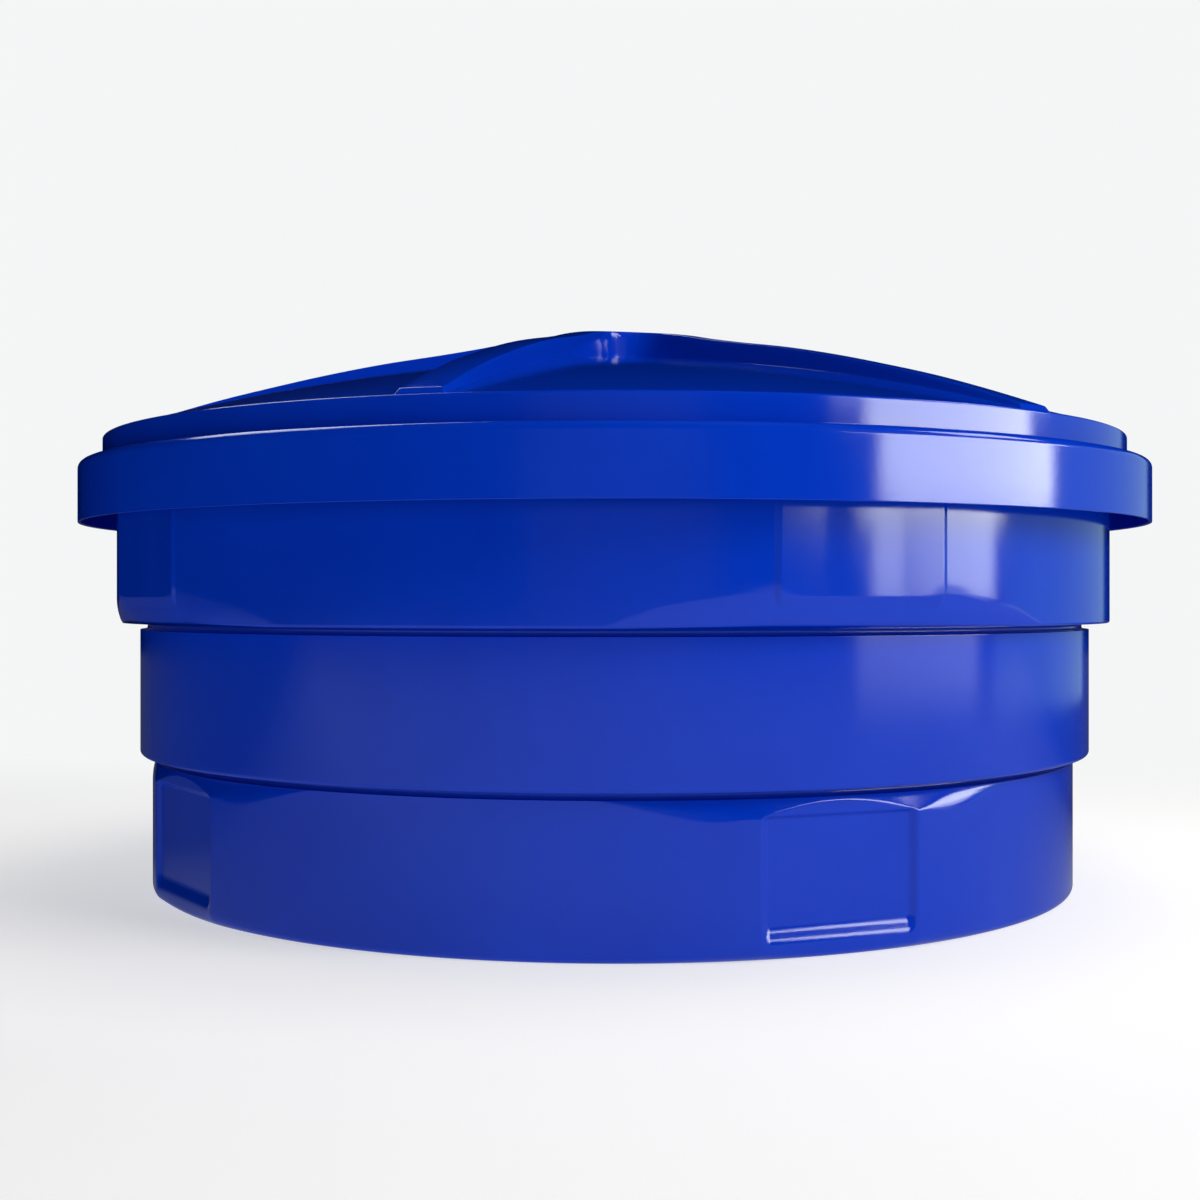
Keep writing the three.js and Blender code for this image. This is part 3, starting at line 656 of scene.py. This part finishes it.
def blue_polyethylene(name):
    """Glossy moulded polyethylene: fine grain, slow mottling of the pigment, faint scuffs."""
    material, tree, shader = new_material(name, (0.0006, 0.034, 0.48), 0.10, ior=1.46)
    where = coordinates(tree)
    mottling = noise(tree, where, 7.0, 4.0, 0.6)
    color = ramp(tree, mottling, [(0.3, (0.0005, 0.031, 0.46)), (0.7, (0.0007, 0.037, 0.50))])
    grain = noise(tree, where, 900.0, 2.0, 0.6)
    pits = noise(tree, where, 260.0, 3.0, 0.6)
    scuff = noise(tree, coordinates(tree, (40, 40, 260)), 1.0, 5.0, 0.7)
    roughness = spread(tree, grain, 0.08, 0.13, 0.25, 0.75)
    worn = spread(tree, scuff, 0.0, 0.09, 0.66, 0.8)
    total = node(tree, "ShaderNodeMath", operation="ADD")
    tree.links.new(roughness, total.inputs[0])
    tree.links.new(worn, total.inputs[1])
    tree.links.new(total.outputs[0], shader.inputs["Roughness"])
    tree.links.new(color, shader.inputs["Base Color"])
    slow = noise(tree, where, 11.0, 1.0, 0.4)
    bump(tree, shader, [(slow, 0.0010, 0.025), (pits, 0.00025, 0.10), (grain, 0.00008, 0.35)])
    return material


def moulded_plastic(name, color, roughness, lighter, scale=1.0):
    """Satin moulded plastic: spark-eroded grain, and flow mottling that also varies the roughness."""
    material, tree, shader = new_material(name, color, roughness)
    where = coordinates(tree)
    mottling = noise(tree, where, 60.0 * scale, 4.0, 0.6)
    tree.links.new(ramp(tree, mottling, [(0.35, color), (0.75, lighter)]), shader.inputs["Base Color"])
    grain = noise(tree, where, 1600.0 * scale, 2.0, 0.6)
    tree.links.new(spread(tree, mottling, roughness - 0.06, roughness + 0.08), shader.inputs["Roughness"])
    bump(tree, shader, [(grain, 0.00012, 0.35), (mottling, 0.0004, 0.08)])
    return material


def turned_brass(name):
    """Machined brass: fine tool grain, a tarnished film in patches, and small dents."""
    material, tree, shader = new_material(name, (0.62, 0.42, 0.16), 0.3, metallic=1.0)
    where = coordinates(tree)
    tarnish = noise(tree, where, 55.0, 6.0, 0.65)
    bright, dull, brown = (0.70, 0.50, 0.21), (0.58, 0.39, 0.15), (0.30, 0.19, 0.075)
    color = ramp(tree, tarnish, [(0.32, bright), (0.55, dull), (0.78, brown)])
    tree.links.new(color, shader.inputs["Base Color"])
    tree.links.new(spread(tree, tarnish, 0.20, 0.48), shader.inputs["Roughness"])
    grain = noise(tree, coordinates(tree, (900, 900, 900)), 1.0, 1.0, 0.3)
    dents = noise(tree, where, 170.0, 3.0, 0.5)
    bump(tree, shader, [(dents, 0.0003, 0.12), (grain, 0.00006, 0.3)])
    return material


def brushed_steel(name):
    """Stainless steel brushed along Z, with faint stains."""
    material, tree, shader = new_material(name, (0.56, 0.57, 0.58), 0.3, metallic=1.0)
    brushed = noise(tree, coordinates(tree, (60, 60, 3200)), 1.0, 3.0, 0.6)
    stain = noise(tree, coordinates(tree), 90.0, 4.0, 0.6)
    color = ramp(tree, stain, [(0.4, (0.60, 0.61, 0.62)), (0.8, (0.42, 0.42, 0.41))])
    tree.links.new(color, shader.inputs["Base Color"])
    tree.links.new(spread(tree, brushed, 0.2, 0.42), shader.inputs["Roughness"])
    bump(tree, shader, [(brushed, 0.00005, 0.3)])
    return material


def matt_rubber(name):
    """Matt rubber with a pale bloom in patches."""
    material, tree, shader = new_material(name, (0.018, 0.018, 0.019), 0.75)
    where = coordinates(tree)
    bloom = noise(tree, where, 130.0, 5.0, 0.65)
    color = ramp(tree, bloom, [(0.4, (0.014, 0.014, 0.015)), (0.8, (0.045, 0.045, 0.047))])
    tree.links.new(color, shader.inputs["Base Color"])
    tree.links.new(spread(tree, bloom, 0.62, 0.85), shader.inputs["Roughness"])
    bump(tree, shader, [(noise(tree, where, 1900.0, 2.0), 0.0001, 0.4)])
    return material


BLUE = blue_polyethylene("blue_polyethylene")
BLACK = moulded_plastic("black_polypropylene", (0.011, 0.011, 0.012), 0.42, (0.022, 0.022, 0.023))
RUBBER = matt_rubber("black_rubber")
BRASS = turned_brass("brass")
NYLON = moulded_plastic("nylon", (0.72, 0.69, 0.60), 0.45, (0.80, 0.78, 0.71))
ORANGE = moulded_plastic("float_plastic", (0.62, 0.105, 0.012), 0.30, (0.72, 0.15, 0.02))
STEEL = brushed_steel("stainless_steel")

record_bodies = frame["record"]["behaviour"]["bodies"]
record_slots = {s["node"]: s["material_slot"] for s in frame["record"]["subparts"]}
slot_material = {
    "blue_polyethylene": BLUE, "black_polypropylene": BLACK, "black_rubber": RUBBER, "brass": BRASS,
    "nylon": NYLON, "float_plastic": ORANGE, "stainless_steel": STEEL,
}


def body_holding(cad_node):
    return next(body for body, nodes in record_bodies.items() if cad_node in nodes)


def dress(obj, cad_node, sharp=30):
    """Gives a new piece its node's finish, body and place."""
    slot = record_slots[cad_node]
    obj.data.materials.append(slot_material[slot])
    if sharp:
        obj.data.set_sharp_from_angle(angle=math.radians(sharp))
    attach(obj, body_holding(cad_node))
    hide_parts(cad_node)
    return obj


def make(cad_node, parts, matrix=None, sharp=30):
    if matrix is not None:
        parts = [moved(p, matrix) for p in parts]
    vertices, faces = merge(parts)
    return dress(add_mesh("vis_" + cad_node, vertices, faces), cad_node, sharp)


# ---- where the fittings are ----
mounts = {m["name"]: m for m in frame["record"]["mounts"]}
joints = {j["name"]: j for j in frame["joints"]}
INLET_REACH, INLET_UP = 42 * MM, 9.7 * MM
OVERFLOW_REACH, OVERFLOW_UP = 34 * MM, 18 * MM
DRAIN_REACH = 25 * MM
INLET_OPENING, BULKHEAD_OPENING = 17.2 * MM, 25.8 * MM

inlet_axis = Vector(mounts["inlet_pipe_end"]["axis"])
inlet_end = Vector(mounts["inlet_pipe_end"]["pos_m"])
inlet_at = inlet_end - inlet_axis * INLET_REACH - Vector((0, 0, INLET_UP))
overflow_axis = Vector(mounts["overflow_pipe_end"]["axis"])
overflow_end = Vector(mounts["overflow_pipe_end"]["pos_m"])
overflow_at = overflow_end - overflow_axis * OVERFLOW_REACH - Vector((0, 0, OVERFLOW_UP))
drain_axis = Vector(joints["drain_cap_turn"]["axis"])
drain_at = Vector(joints["drain_cap_turn"]["pos_m"]) - drain_axis * DRAIN_REACH
INLET = fitting_matrix(inlet_at, inlet_axis)
OVERFLOW = fitting_matrix(overflow_at, overflow_axis)
DRAIN = fitting_matrix(drain_at, drain_axis)

# ---- the two mouldings ----
shell_parts = tank_shell()
shell_parts = open_round(shell_parts, inlet_at, inlet_axis, INLET_OPENING)
shell_parts = open_round(shell_parts, overflow_at, overflow_axis, BULKHEAD_OPENING)
shell_parts = open_round(shell_parts, drain_at, drain_axis, BULKHEAD_OPENING)
make("tank_shell", [shell_parts], sharp=None)
make("lid", [lid_shell()], sharp=None)


# ---- bulkhead fittings, along local X from the pad's face ----
GAP = 0.3
HALF_FLAT = math.cos(TAU / 12)
BULKHEAD_BORE, BULKHEAD_R, BULKHEAD_END = 16.0, 21.0, 34.0
BULKHEAD_THREAD, BULKHEAD_PITCH = 1.3, 5.0
FLANGE_R, FLANGE_THICKNESS = 34.0, 6.0
GASKET_R, GASKET_THICKNESS = 32.0, 3.0
BULKHEAD_NUT_R, BULKHEAD_NUT_END = 31.0, 13.0
GASKET_FROM, GASKET_TO = -WALL - GAP - GASKET_THICKNESS, -WALL - GAP
FLANGE_TO = GASKET_FROM - GAP
FLANGE_FROM = FLANGE_TO - FLANGE_THICKNESS


def bulkhead_flange():
    """The threaded neck and its flange, bored right through."""
    thread = thread_shape(BULKHEAD_R, BULKHEAD_THREAD, BULKHEAD_PITCH, 12.5, BULKHEAD_END - 0.5)
    return turned([
        (BULKHEAD_BORE, 10, 0), (BULKHEAD_BORE, FLANGE_FROM, 1.2), (FLANGE_R, FLANGE_FROM, 1.6),
        (FLANGE_R, FLANGE_TO, 0.6), (BULKHEAD_R, FLANGE_TO, 0.4), (BULKHEAD_R, BULKHEAD_END, 1.2),
        (BULKHEAD_BORE, BULKHEAD_END, 1.0), (BULKHEAD_BORE, 10.2, 0),
    ], steps=120, longest=0.6, shape=thread, bored=True)


def bulkhead_nut():
    """A hexagonal plastic nut with a turned collar inside it."""
    ring = hexagon(BULKHEAD_NUT_R * HALF_FLAT, 20.5, GAP, BULKHEAD_NUT_END, 1.8)
    collar = tube(26.2, 21.4, GAP + 0.05, BULKHEAD_NUT_END - 0.1, 0.6)
    return [ring, collar]


for prefix, matrix in (("overflow", OVERFLOW), ("drain", DRAIN)):
    make(prefix + "_flange", [bulkhead_flange()], matrix)
    make(prefix + "_gasket", [tube(GASKET_R, BULKHEAD_R + GAP, GASKET_FROM, GASKET_TO, 0.7)], matrix, 50)
    make(prefix + "_nut", bulkhead_nut(), matrix, 25)


SCREEN_R, SCREEN_HOLE_R, SCREEN_THICKNESS, SCREEN_AT = 15.6, 2.1, 2.0, 30.2
SCREEN_RINGS = ((5.4, 6), (10.8, 12))


def points_round(radius, count, y=0.0, z=0.0):
    """Points round a circle square to local X."""
    turns = [TAU * k / count for k in range(count)]
    return [(0, y + radius * math.cos(a), z + radius * math.sin(a)) for a in turns]


def closed_loop(bm, points):
    loop = [bm.verts.new(p) for p in points]
    return [bm.edges.new((loop[k], loop[(k + 1) % len(loop)])) for k in range(len(loop))]


def perforated_disc():
    """A thin disc with a middle hole and two rings of holes through it."""
    bm = bmesh.new()
    holes = [(0, 0.0, 0.0)]
    for radius, count in SCREEN_RINGS:
        holes += points_round(radius, count)
    edges = closed_loop(bm, points_round(SCREEN_R, 96))
    for _, y, z in holes:
        edges += closed_loop(bm, points_round(SCREEN_HOLE_R, 24, y, z))
    bmesh.ops.triangle_fill(bm, use_beauty=True, use_dissolve=False, edges=edges, normal=(1, 0, 0))
    thick = bmesh.ops.extrude_face_region(bm, geom=list(bm.faces))
    outer_side = [g for g in thick["geom"] if isinstance(g, bmesh.types.BMVert)]
    bmesh.ops.translate(bm, verts=outer_side, vec=(SCREEN_THICKNESS, 0, 0))
    bmesh.ops.translate(bm, verts=list(bm.verts), vec=(SCREEN_AT, 0, 0))
    bmesh.ops.recalc_face_normals(bm, faces=list(bm.faces))
    bm.verts.index_update()
    vertices = np.array([v.co[:] for v in bm.verts]) * MM
    faces = [[v.index for v in f.verts] for f in bm.faces]
    bm.free()
    return vertices, faces


make("overflow_screen", [perforated_disc()], OVERFLOW, 30)

# ---- drain cap ----
CAP_START, CAP_END, CAP_R = 15.0, 41.0, 27.0
CAP_BODY_R, CAP_INSIDE_R, CAP_INSIDE_END = CAP_R - 2, 21.6, 36.9
GRIP_RIBS, GRIP_PROUD = 8, 2.6


def grip_shape(r, x, angle):
    """Eight grip ribs round the cap, rounded over at the end."""
    pitch = TAU / GRIP_RIBS
    folded = (angle + pitch / 2) % pitch - pitch / 2
    rib = smoothstep((0.13 - np.abs(folded)) / 0.05)
    on = smoothstep((x - CAP_START - 2) / 2.0) * smoothstep((CAP_END + 0.4 - x) / 2.0)
    return r + GRIP_PROUD * rib * on * (r > CAP_R - GRIP_PROUD)


cap = turned([
    (0.05, CAP_END, 0), (CAP_BODY_R, CAP_END, 2.2), (CAP_BODY_R, CAP_START, 1.0),
    (CAP_INSIDE_R, CAP_START, 0.6), (CAP_INSIDE_R, CAP_INSIDE_END, 0.8), (0.05, CAP_INSIDE_END, 0),
], steps=192, longest=1.0, shape=grip_shape)
make("drain_cap", [turned_over(cap)], DRAIN, 35)
washer = tube(BULKHEAD_R, BULKHEAD_BORE, BULKHEAD_END + GAP, BULKHEAD_END + 2.3, 0.6)
make("drain_cap_washer", [washer], DRAIN, 50)

# ---- float valve ----
SHANK_R, SHANK_END, BARREL_R, BARREL_END = 13.2, 42.0, 14.0, -62.0
PIVOT_X, PIVOT_Z = -52.0, -15.0
VALVE_BORE, BARREL_BORE, BARREL_NECK_R = 7.0, 9.5, BARREL_R - 1.8
INLET_WASHER_R, INLET_WASHER_THICKNESS = 18.0, 2.4
SHOULDER_R, SHOULDER_THICKNESS = 20.0, 6.0
SHOULDER_TO = -WALL - 2 * GAP - INLET_WASHER_THICKNESS
SHOULDER_FROM = SHOULDER_TO - SHOULDER_THICKNESS
SHANK_THREAD, SHANK_PITCH = 1.1, 1.81
SLOT_HALF_WIDTH, EAR_HALF_LENGTH = 5.0, 7.0
SPOUT_X, SPOUT_Z, SPOUT_LENGTH = -32.75, -9.6, 14.0


def valve_body_parts():
    """The threaded shank, the shoulder, the slotted barrel, its spout and the two pivot ears."""
    root = SHOULDER_TO - 2
    thread = thread_shape(SHANK_R, SHANK_THREAD, SHANK_PITCH, 1.0, SHANK_END - 0.6)
    shank = turned([
        (VALVE_BORE, 10, 0), (VALVE_BORE, root, 0.4), (SHANK_R, root, 0.4), (SHANK_R, SHANK_END, 1.4),
        (VALVE_BORE, SHANK_END, 0.8), (VALVE_BORE, 10.2, 0),
    ], 120, longest=0.3, shape=thread, bored=True)
    shoulder = hexagon(SHOULDER_R * HALF_FLAT, 8, SHOULDER_FROM, SHOULDER_TO, 1.2)
    mouth_r = BARREL_R - 0.6
    barrel = turned([
        (BARREL_BORE, -30, 0), (BARREL_BORE, BARREL_END, 0.5),
        (mouth_r, BARREL_END, 0.8), (mouth_r, BARREL_END + 5, 0.4),
        (BARREL_R, BARREL_END + 5.6, 0.4), (BARREL_R, -22, 1.5), (BARREL_NECK_R, -20, 0.8),
        (BARREL_NECK_R, SHOULDER_FROM + 0.5, 1.0), (BARREL_BORE, SHOULDER_FROM + 0.5, 0),
        (BARREL_BORE, -29.8, 0),
    ], steps=96, longest=2.5, bored=True)
    vertices, faces = barrel
    beside_slot = []
    for face in faces:
        x, y, z = vertices[face].mean(axis=0) / MM
        in_slot = BARREL_END - 1 < x < PIVOT_X + 13 and abs(y) < SLOT_HALF_WIDTH and z < 0
        if not in_slot:
            beside_slot.append(face)
    barrel = (vertices, beside_slot)
    spout = tube(7, 4.5, 0, SPOUT_LENGTH, 0.9, 48)
    place = Matrix.Translation(Vector((SPOUT_X, 0, SPOUT_Z)) * MM)
    down = place @ Matrix.Rotation(math.radians(90), 4, "Y")
    parts = [shank, shoulder, barrel, moved(spout, down)]
    for side in (-1, 1):
        y0, y1 = sorted((side * SLOT_HALF_WIDTH, side * 9.0))
        low = (PIVOT_X - EAR_HALF_LENGTH, y0, PIVOT_Z - 6)
        high = (PIVOT_X + EAR_HALF_LENGTH, y1, -10)
        parts.append(slab(low, high, 1.2))
    return parts


make("inlet_valve_body", valve_body_parts(), INLET, 28)
for name, start in (("inlet_outer_washer", GAP), ("inlet_inner_washer", SHOULDER_TO + GAP)):
    ring = tube(INLET_WASHER_R, SHANK_R + GAP, start, start + INLET_WASHER_THICKNESS, 0.6)
    make(name, [ring], INLET, 50)
make("inlet_lock_nut", [hexagon(SHOULDER_R * HALF_FLAT, 13.0, 3, 12, 1.4)], INLET, 25)

# The arm's own frame: local X points back along the arm toward the wall when it is level.
DROP = math.radians(58)
ROD_R, ROD_NUT_R, ROD_NUT_THICKNESS = 3.0, 7.0, 5.2
ROD_START, ROD_END = -20.3, -250.0
ROD_THREAD, ROD_PITCH = 0.45, 1.0
ARM = INLET @ Matrix.Translation(Vector((PIVOT_X, 0, PIVOT_Z)) * MM) @ Matrix.Rotation(-DROP, 4, "Y")
ACROSS = Matrix.Rotation(math.radians(90), 4, "Z")
hub = moved(tube(5.5, 2.3, -4.4, 4.4, 0.6, 48), ACROSS)
finger = moved(slab((-2, -3.5, 2), (2, 3.5, 9.5), 0.8), Matrix.Rotation(math.radians(38), 4, "Y"))
web = slab((-16, -4.4, -4.4), (-4.2, 4.4, 4.4), 1.2)
socket = turned([
    (0.05, -14, 0), (4.6, -14, 0.8), (6, -16, 0.8), (6, -34, 1.0),
    (3.3, -34, 0.3), (3.3, -20, 0), (0.05, -20, 0),
], 60)
make("float_lever", [hub, finger, web, turned_over(socket)], ARM, 30)
ball_thread = thread_shape(ROD_R, ROD_THREAD, ROD_PITCH, ROD_END, -224)
lever_thread = thread_shape(ROD_R, ROD_THREAD, ROD_PITCH, -46, -20)


def threaded_ends(r, x, angle):
    return np.where(x < -225, ball_thread(r, x, angle), lever_thread(r, x, angle))


rod = turned(
    [(0.05, ROD_END, 0), (ROD_R, ROD_END, 0.6), (ROD_R, ROD_START, 0.4), (0.05, ROD_START, 0)],
    48, longest=0.35, shape=threaded_ends,
)
make("float_rod", [rod], ARM, 30)
for name, start in (("rod_lock_nut", -39.5), ("ball_lock_nut", -231.7)):
    make(name, [hexagon(ROD_NUT_R * HALF_FLAT, ROD_R + 0.1, start, start + ROD_NUT_THICKNESS, 0.8)], ARM, 25)

BALL_X, BALL_R, BOSS_R = -300.0, 60.0, 9.0


def float_ball():
    """Two moulded halves welded at a raised seam, with a boss for the rod."""
    profile = []
    for k in range(97):
        a = math.pi * k / 96
        seam = math.exp(-((a - math.pi / 2) / 0.014) ** 2)
        r = BALL_R - 0.8 + 0.75 * seam
        across, along = max(r * math.sin(a), 0.05), BALL_X - r * math.cos(a)
        if along <= BALL_X or across >= BOSS_R + 0.6:
            profile.append((across, along, 0))
    boss_end = BALL_X + BALL_R + 7.9
    profile += [
        (BOSS_R, profile[-1][1] + 1.6, 1.2), (BOSS_R, boss_end, 1.2),
        (ROD_R + GAP, boss_end, 0.3), (ROD_R + GAP, BALL_X + BALL_R - 10, 0),
    ]
    return turned_over(turned(profile, 96, longest=3.0))


make("float_ball", [float_ball()], ARM, 35)

# ---- nodes that keep their own solids ----
for name, cad in frame["nodes"].items():
    if cad.hide_render:
        continue
    cad.data.materials.clear()
    cad.data.materials.append(slot_material[record_slots[name]])

# ---- floor, backdrop and lights ----
view = math.radians(VIEW_AZIMUTH)


def in_view_frame(x, y, z=0.0):
    """A point given by how far right of and toward the camera it is."""
    toward = Vector((math.sin(view), -math.cos(view), 0))
    right = Vector((math.cos(view), math.sin(view), 0))
    return right * x + toward * y + Vector((0, 0, z))


STAGE_R = 9.0
FLOOR_GLOW_NEAR = 0.46
BACKDROP_GLOW = 0.93


def disc(name, radius, z, rings=24, steps=128):
    r = np.linspace(0.01, 1, rings) ** 1.6 * radius
    a = np.linspace(0, TAU, steps, endpoint=False)
    grid = np.stack([r[:, None] * np.cos(a), r[:, None] * np.sin(a), np.full((rings, steps), z)], axis=-1)
    return add_mesh(name, grid.reshape(-1, 3), grid_faces(rings, steps).tolist() + [list(range(steps))])


def glowing(name, color, strength):
    material = bpy.data.materials.new(name)
    material.use_nodes = True
    tree = material.node_tree
    tree.nodes.clear()
    glow = node(tree, "ShaderNodeEmission", Color=(*color, 1), Strength=strength)
    out = node(tree, "ShaderNodeOutputMaterial")
    tree.links.new(glow.outputs[0], out.inputs["Surface"])
    return material


BACKDROP_COLOR = (0.975, 0.985, 0.99)
FLOOR_BEHIND, FLOOR_IN_FRONT = 1.3, -0.9
FLOOR_NEAR_R, FLOOR_FAR_R = 1.6, 3.6
SHEEN_DARK, SHEEN_BRIGHT = 0.05, 0.55
SHEEN_BEHIND, SHEEN_IN_FRONT = -0.3, 0.9
SHEEN_DROP = 0.004


def distance_toward(tree, direction):
    """How far a point of the floor lies along a direction across it."""
    where = node(tree, "ShaderNodeTexCoord")
    depth = node(tree, "ShaderNodeVectorMath", operation="DOT_PRODUCT")
    tree.links.new(where.outputs["Object"], depth.inputs[0])
    depth.inputs[1].default_value = direction
    return depth.outputs["Value"]


def distance_out(tree):
    """How far a point of the floor lies from the middle."""
    where = node(tree, "ShaderNodeTexCoord")
    length = node(tree, "ShaderNodeVectorMath", operation="LENGTH")
    tree.links.new(where.outputs["Object"], length.inputs[0])
    return length.outputs["Value"]


def floor_finish():
    """Warm matt paper that brightens into the backdrop with distance."""
    material, tree, shader = new_material("floor", (0.8, 0.8, 0.8), 0.6)
    depth = distance_toward(tree, in_view_frame(0.12, -1.0))
    behind = spread(tree, depth, 0.0, 1.0, FLOOR_IN_FRONT, FLOOR_BEHIND)
    far = spread(tree, distance_out(tree), 0.0, 1.0, FLOOR_NEAR_R, FLOOR_FAR_R)
    widest = node(tree, "ShaderNodeMath", operation="MAXIMUM")
    tree.links.new(behind, widest.inputs[0])
    tree.links.new(far, widest.inputs[1])
    fade = widest.outputs[0]
    glow = spread(tree, fade, FLOOR_GLOW_NEAR, BACKDROP_GLOW, 0.0, 1.0)
    tree.links.new(glow, shader.inputs["Emission Strength"])
    shader.inputs["Emission Color"].default_value = (*BACKDROP_COLOR, 1)
    near_color, middle_color, far_color = (0.68, 0.655, 0.64), (0.58, 0.54, 0.50), (0.0, 0.0, 0.0)
    color = ramp(tree, fade, [(0, near_color), (0.45, middle_color), (1, far_color)])
    tree.links.new(color, shader.inputs["Base Color"])
    shader.inputs["Specular IOR Level"].default_value = 0.0
    return material


def sheen_finish():
    """What glossy walls see of the floor: brighter toward the front."""
    material = glowing("floor_in_reflections", (0.9, 0.96, 1.0), 0.5)
    tree = material.node_tree
    depth = distance_toward(tree, in_view_frame(0.3, 1.0))
    strength = spread(tree, depth, SHEEN_DARK, SHEEN_BRIGHT, SHEEN_BEHIND, SHEEN_IN_FRONT)
    tree.links.new(strength, tree.nodes["Emission"].inputs["Strength"])
    return material


def dome(name, radius, rings=24, steps=96):
    """The inside of half a ball, standing on the floor."""
    around_dome = np.linspace(0, TAU, steps, endpoint=False)
    rows = []
    for k in range(rings + 1):
        a = math.pi / 2 * k / rings
        r = max(radius * math.cos(a), 0.01)
        rows.append(np.stack([
            r * np.cos(around_dome), r * np.sin(around_dome), np.full(steps, radius * math.sin(a)),
        ], axis=-1))
    return add_mesh(name, *skin(np.array(rows), caps=False))


floor = disc("floor", STAGE_R, 0.0)
floor.data.materials.append(floor_finish())
floor.visible_glossy = False

sheen = disc("floor_in_reflections", STAGE_R, -SHEEN_DROP)
sheen.data.materials.append(sheen_finish())
sheen.visible_camera = False
sheen.visible_diffuse = False
sheen.visible_shadow = False

backdrop = dome("backdrop", STAGE_R)
backdrop.data.materials.append(glowing("backdrop", BACKDROP_COLOR, BACKDROP_GLOW))
backdrop.visible_diffuse = False
backdrop.visible_glossy = False
backdrop.visible_transmission = False
backdrop.visible_shadow = False


def around(azimuth, distance, z):
    """A place counted from the camera's direction toward its right."""
    a = math.radians(azimuth)
    return in_view_frame(distance * math.sin(a), distance * math.cos(a), z)


LEVEL_BELOW, AIM_Z = 1.5, 0.4


def area_light(name, azimuth, distance, z, width, height, radiance, color, gloss):
    """A panel that faces the axis, seen either in reflections or as plain light. Low ones stay level."""
    place = around(azimuth, distance, z)
    data = bpy.data.lights.new(name, "AREA")
    data.shape = "RECTANGLE"
    data.size, data.size_y = width, height
    data.energy = 4 * width * height * radiance
    data.color = color
    light = bpy.data.objects.new(name, data)
    light.location = place
    aim = Vector((0, 0, z if z < LEVEL_BELOW else AIM_Z)) - place
    light.rotation_euler = aim.to_track_quat("-Z", "Y").to_euler()
    light.visible_camera = False
    light.visible_glossy = gloss
    light.visible_diffuse = not gloss
    scene.collection.objects.link(light)
    return light


area_light("softbox_top", 67.5, 3.0, 0.98, 3.0, 0.20, 9.0, (0.95, 0.99, 0.96), True)
area_light("softbox", 67.5, 3.0, 0.71, 2.24, 0.32, 9.5, (0.95, 0.99, 0.96), True)
area_light("softbox_low", 67.5, 3.0, 0.43, 1.85, 0.24, 5.5, (0.95, 0.99, 0.96), True)
area_light("low_glow", 66, 3.0, 0.20, 1.7, 0.22, 1.2, (0.95, 0.98, 1.0), True)
area_light("side_wall", 112, 3.0, 0.7, 2.7, 1.3, 0.42, (0.6, 0.95, 1.0), True)
area_light("high_panel", 82, 3.0, 2.4, 1.3, 1.2, 6.0, (1.0, 1.0, 1.0), True)
area_light("back_left", -130, 2.6, 3.4, 2.8, 1.6, 3.0, (0.95, 0.98, 1.0), True)
area_light("key", 58, 3.2, 1.9, 1.8, 1.5, 6.6, (1.0, 1.0, 1.0), False)
area_light("front_fill", 0, 3.8, 0.8, 2.2, 1.2, 2.6, (0.96, 0.98, 1.0), False)
area_light("overhead", 60, 0.6, 3.6, 2.2, 2.2, 2.6, (1.0, 1.0, 1.0), False)

world = bpy.data.worlds.new("world")
world.use_nodes = True
world.node_tree.nodes["Background"].inputs["Color"].default_value = (0.80, 0.88, 1.0, 1)
world.node_tree.nodes["Background"].inputs["Strength"].default_value = 0.0
scene.world = world
scene.view_settings.view_transform = "Standard"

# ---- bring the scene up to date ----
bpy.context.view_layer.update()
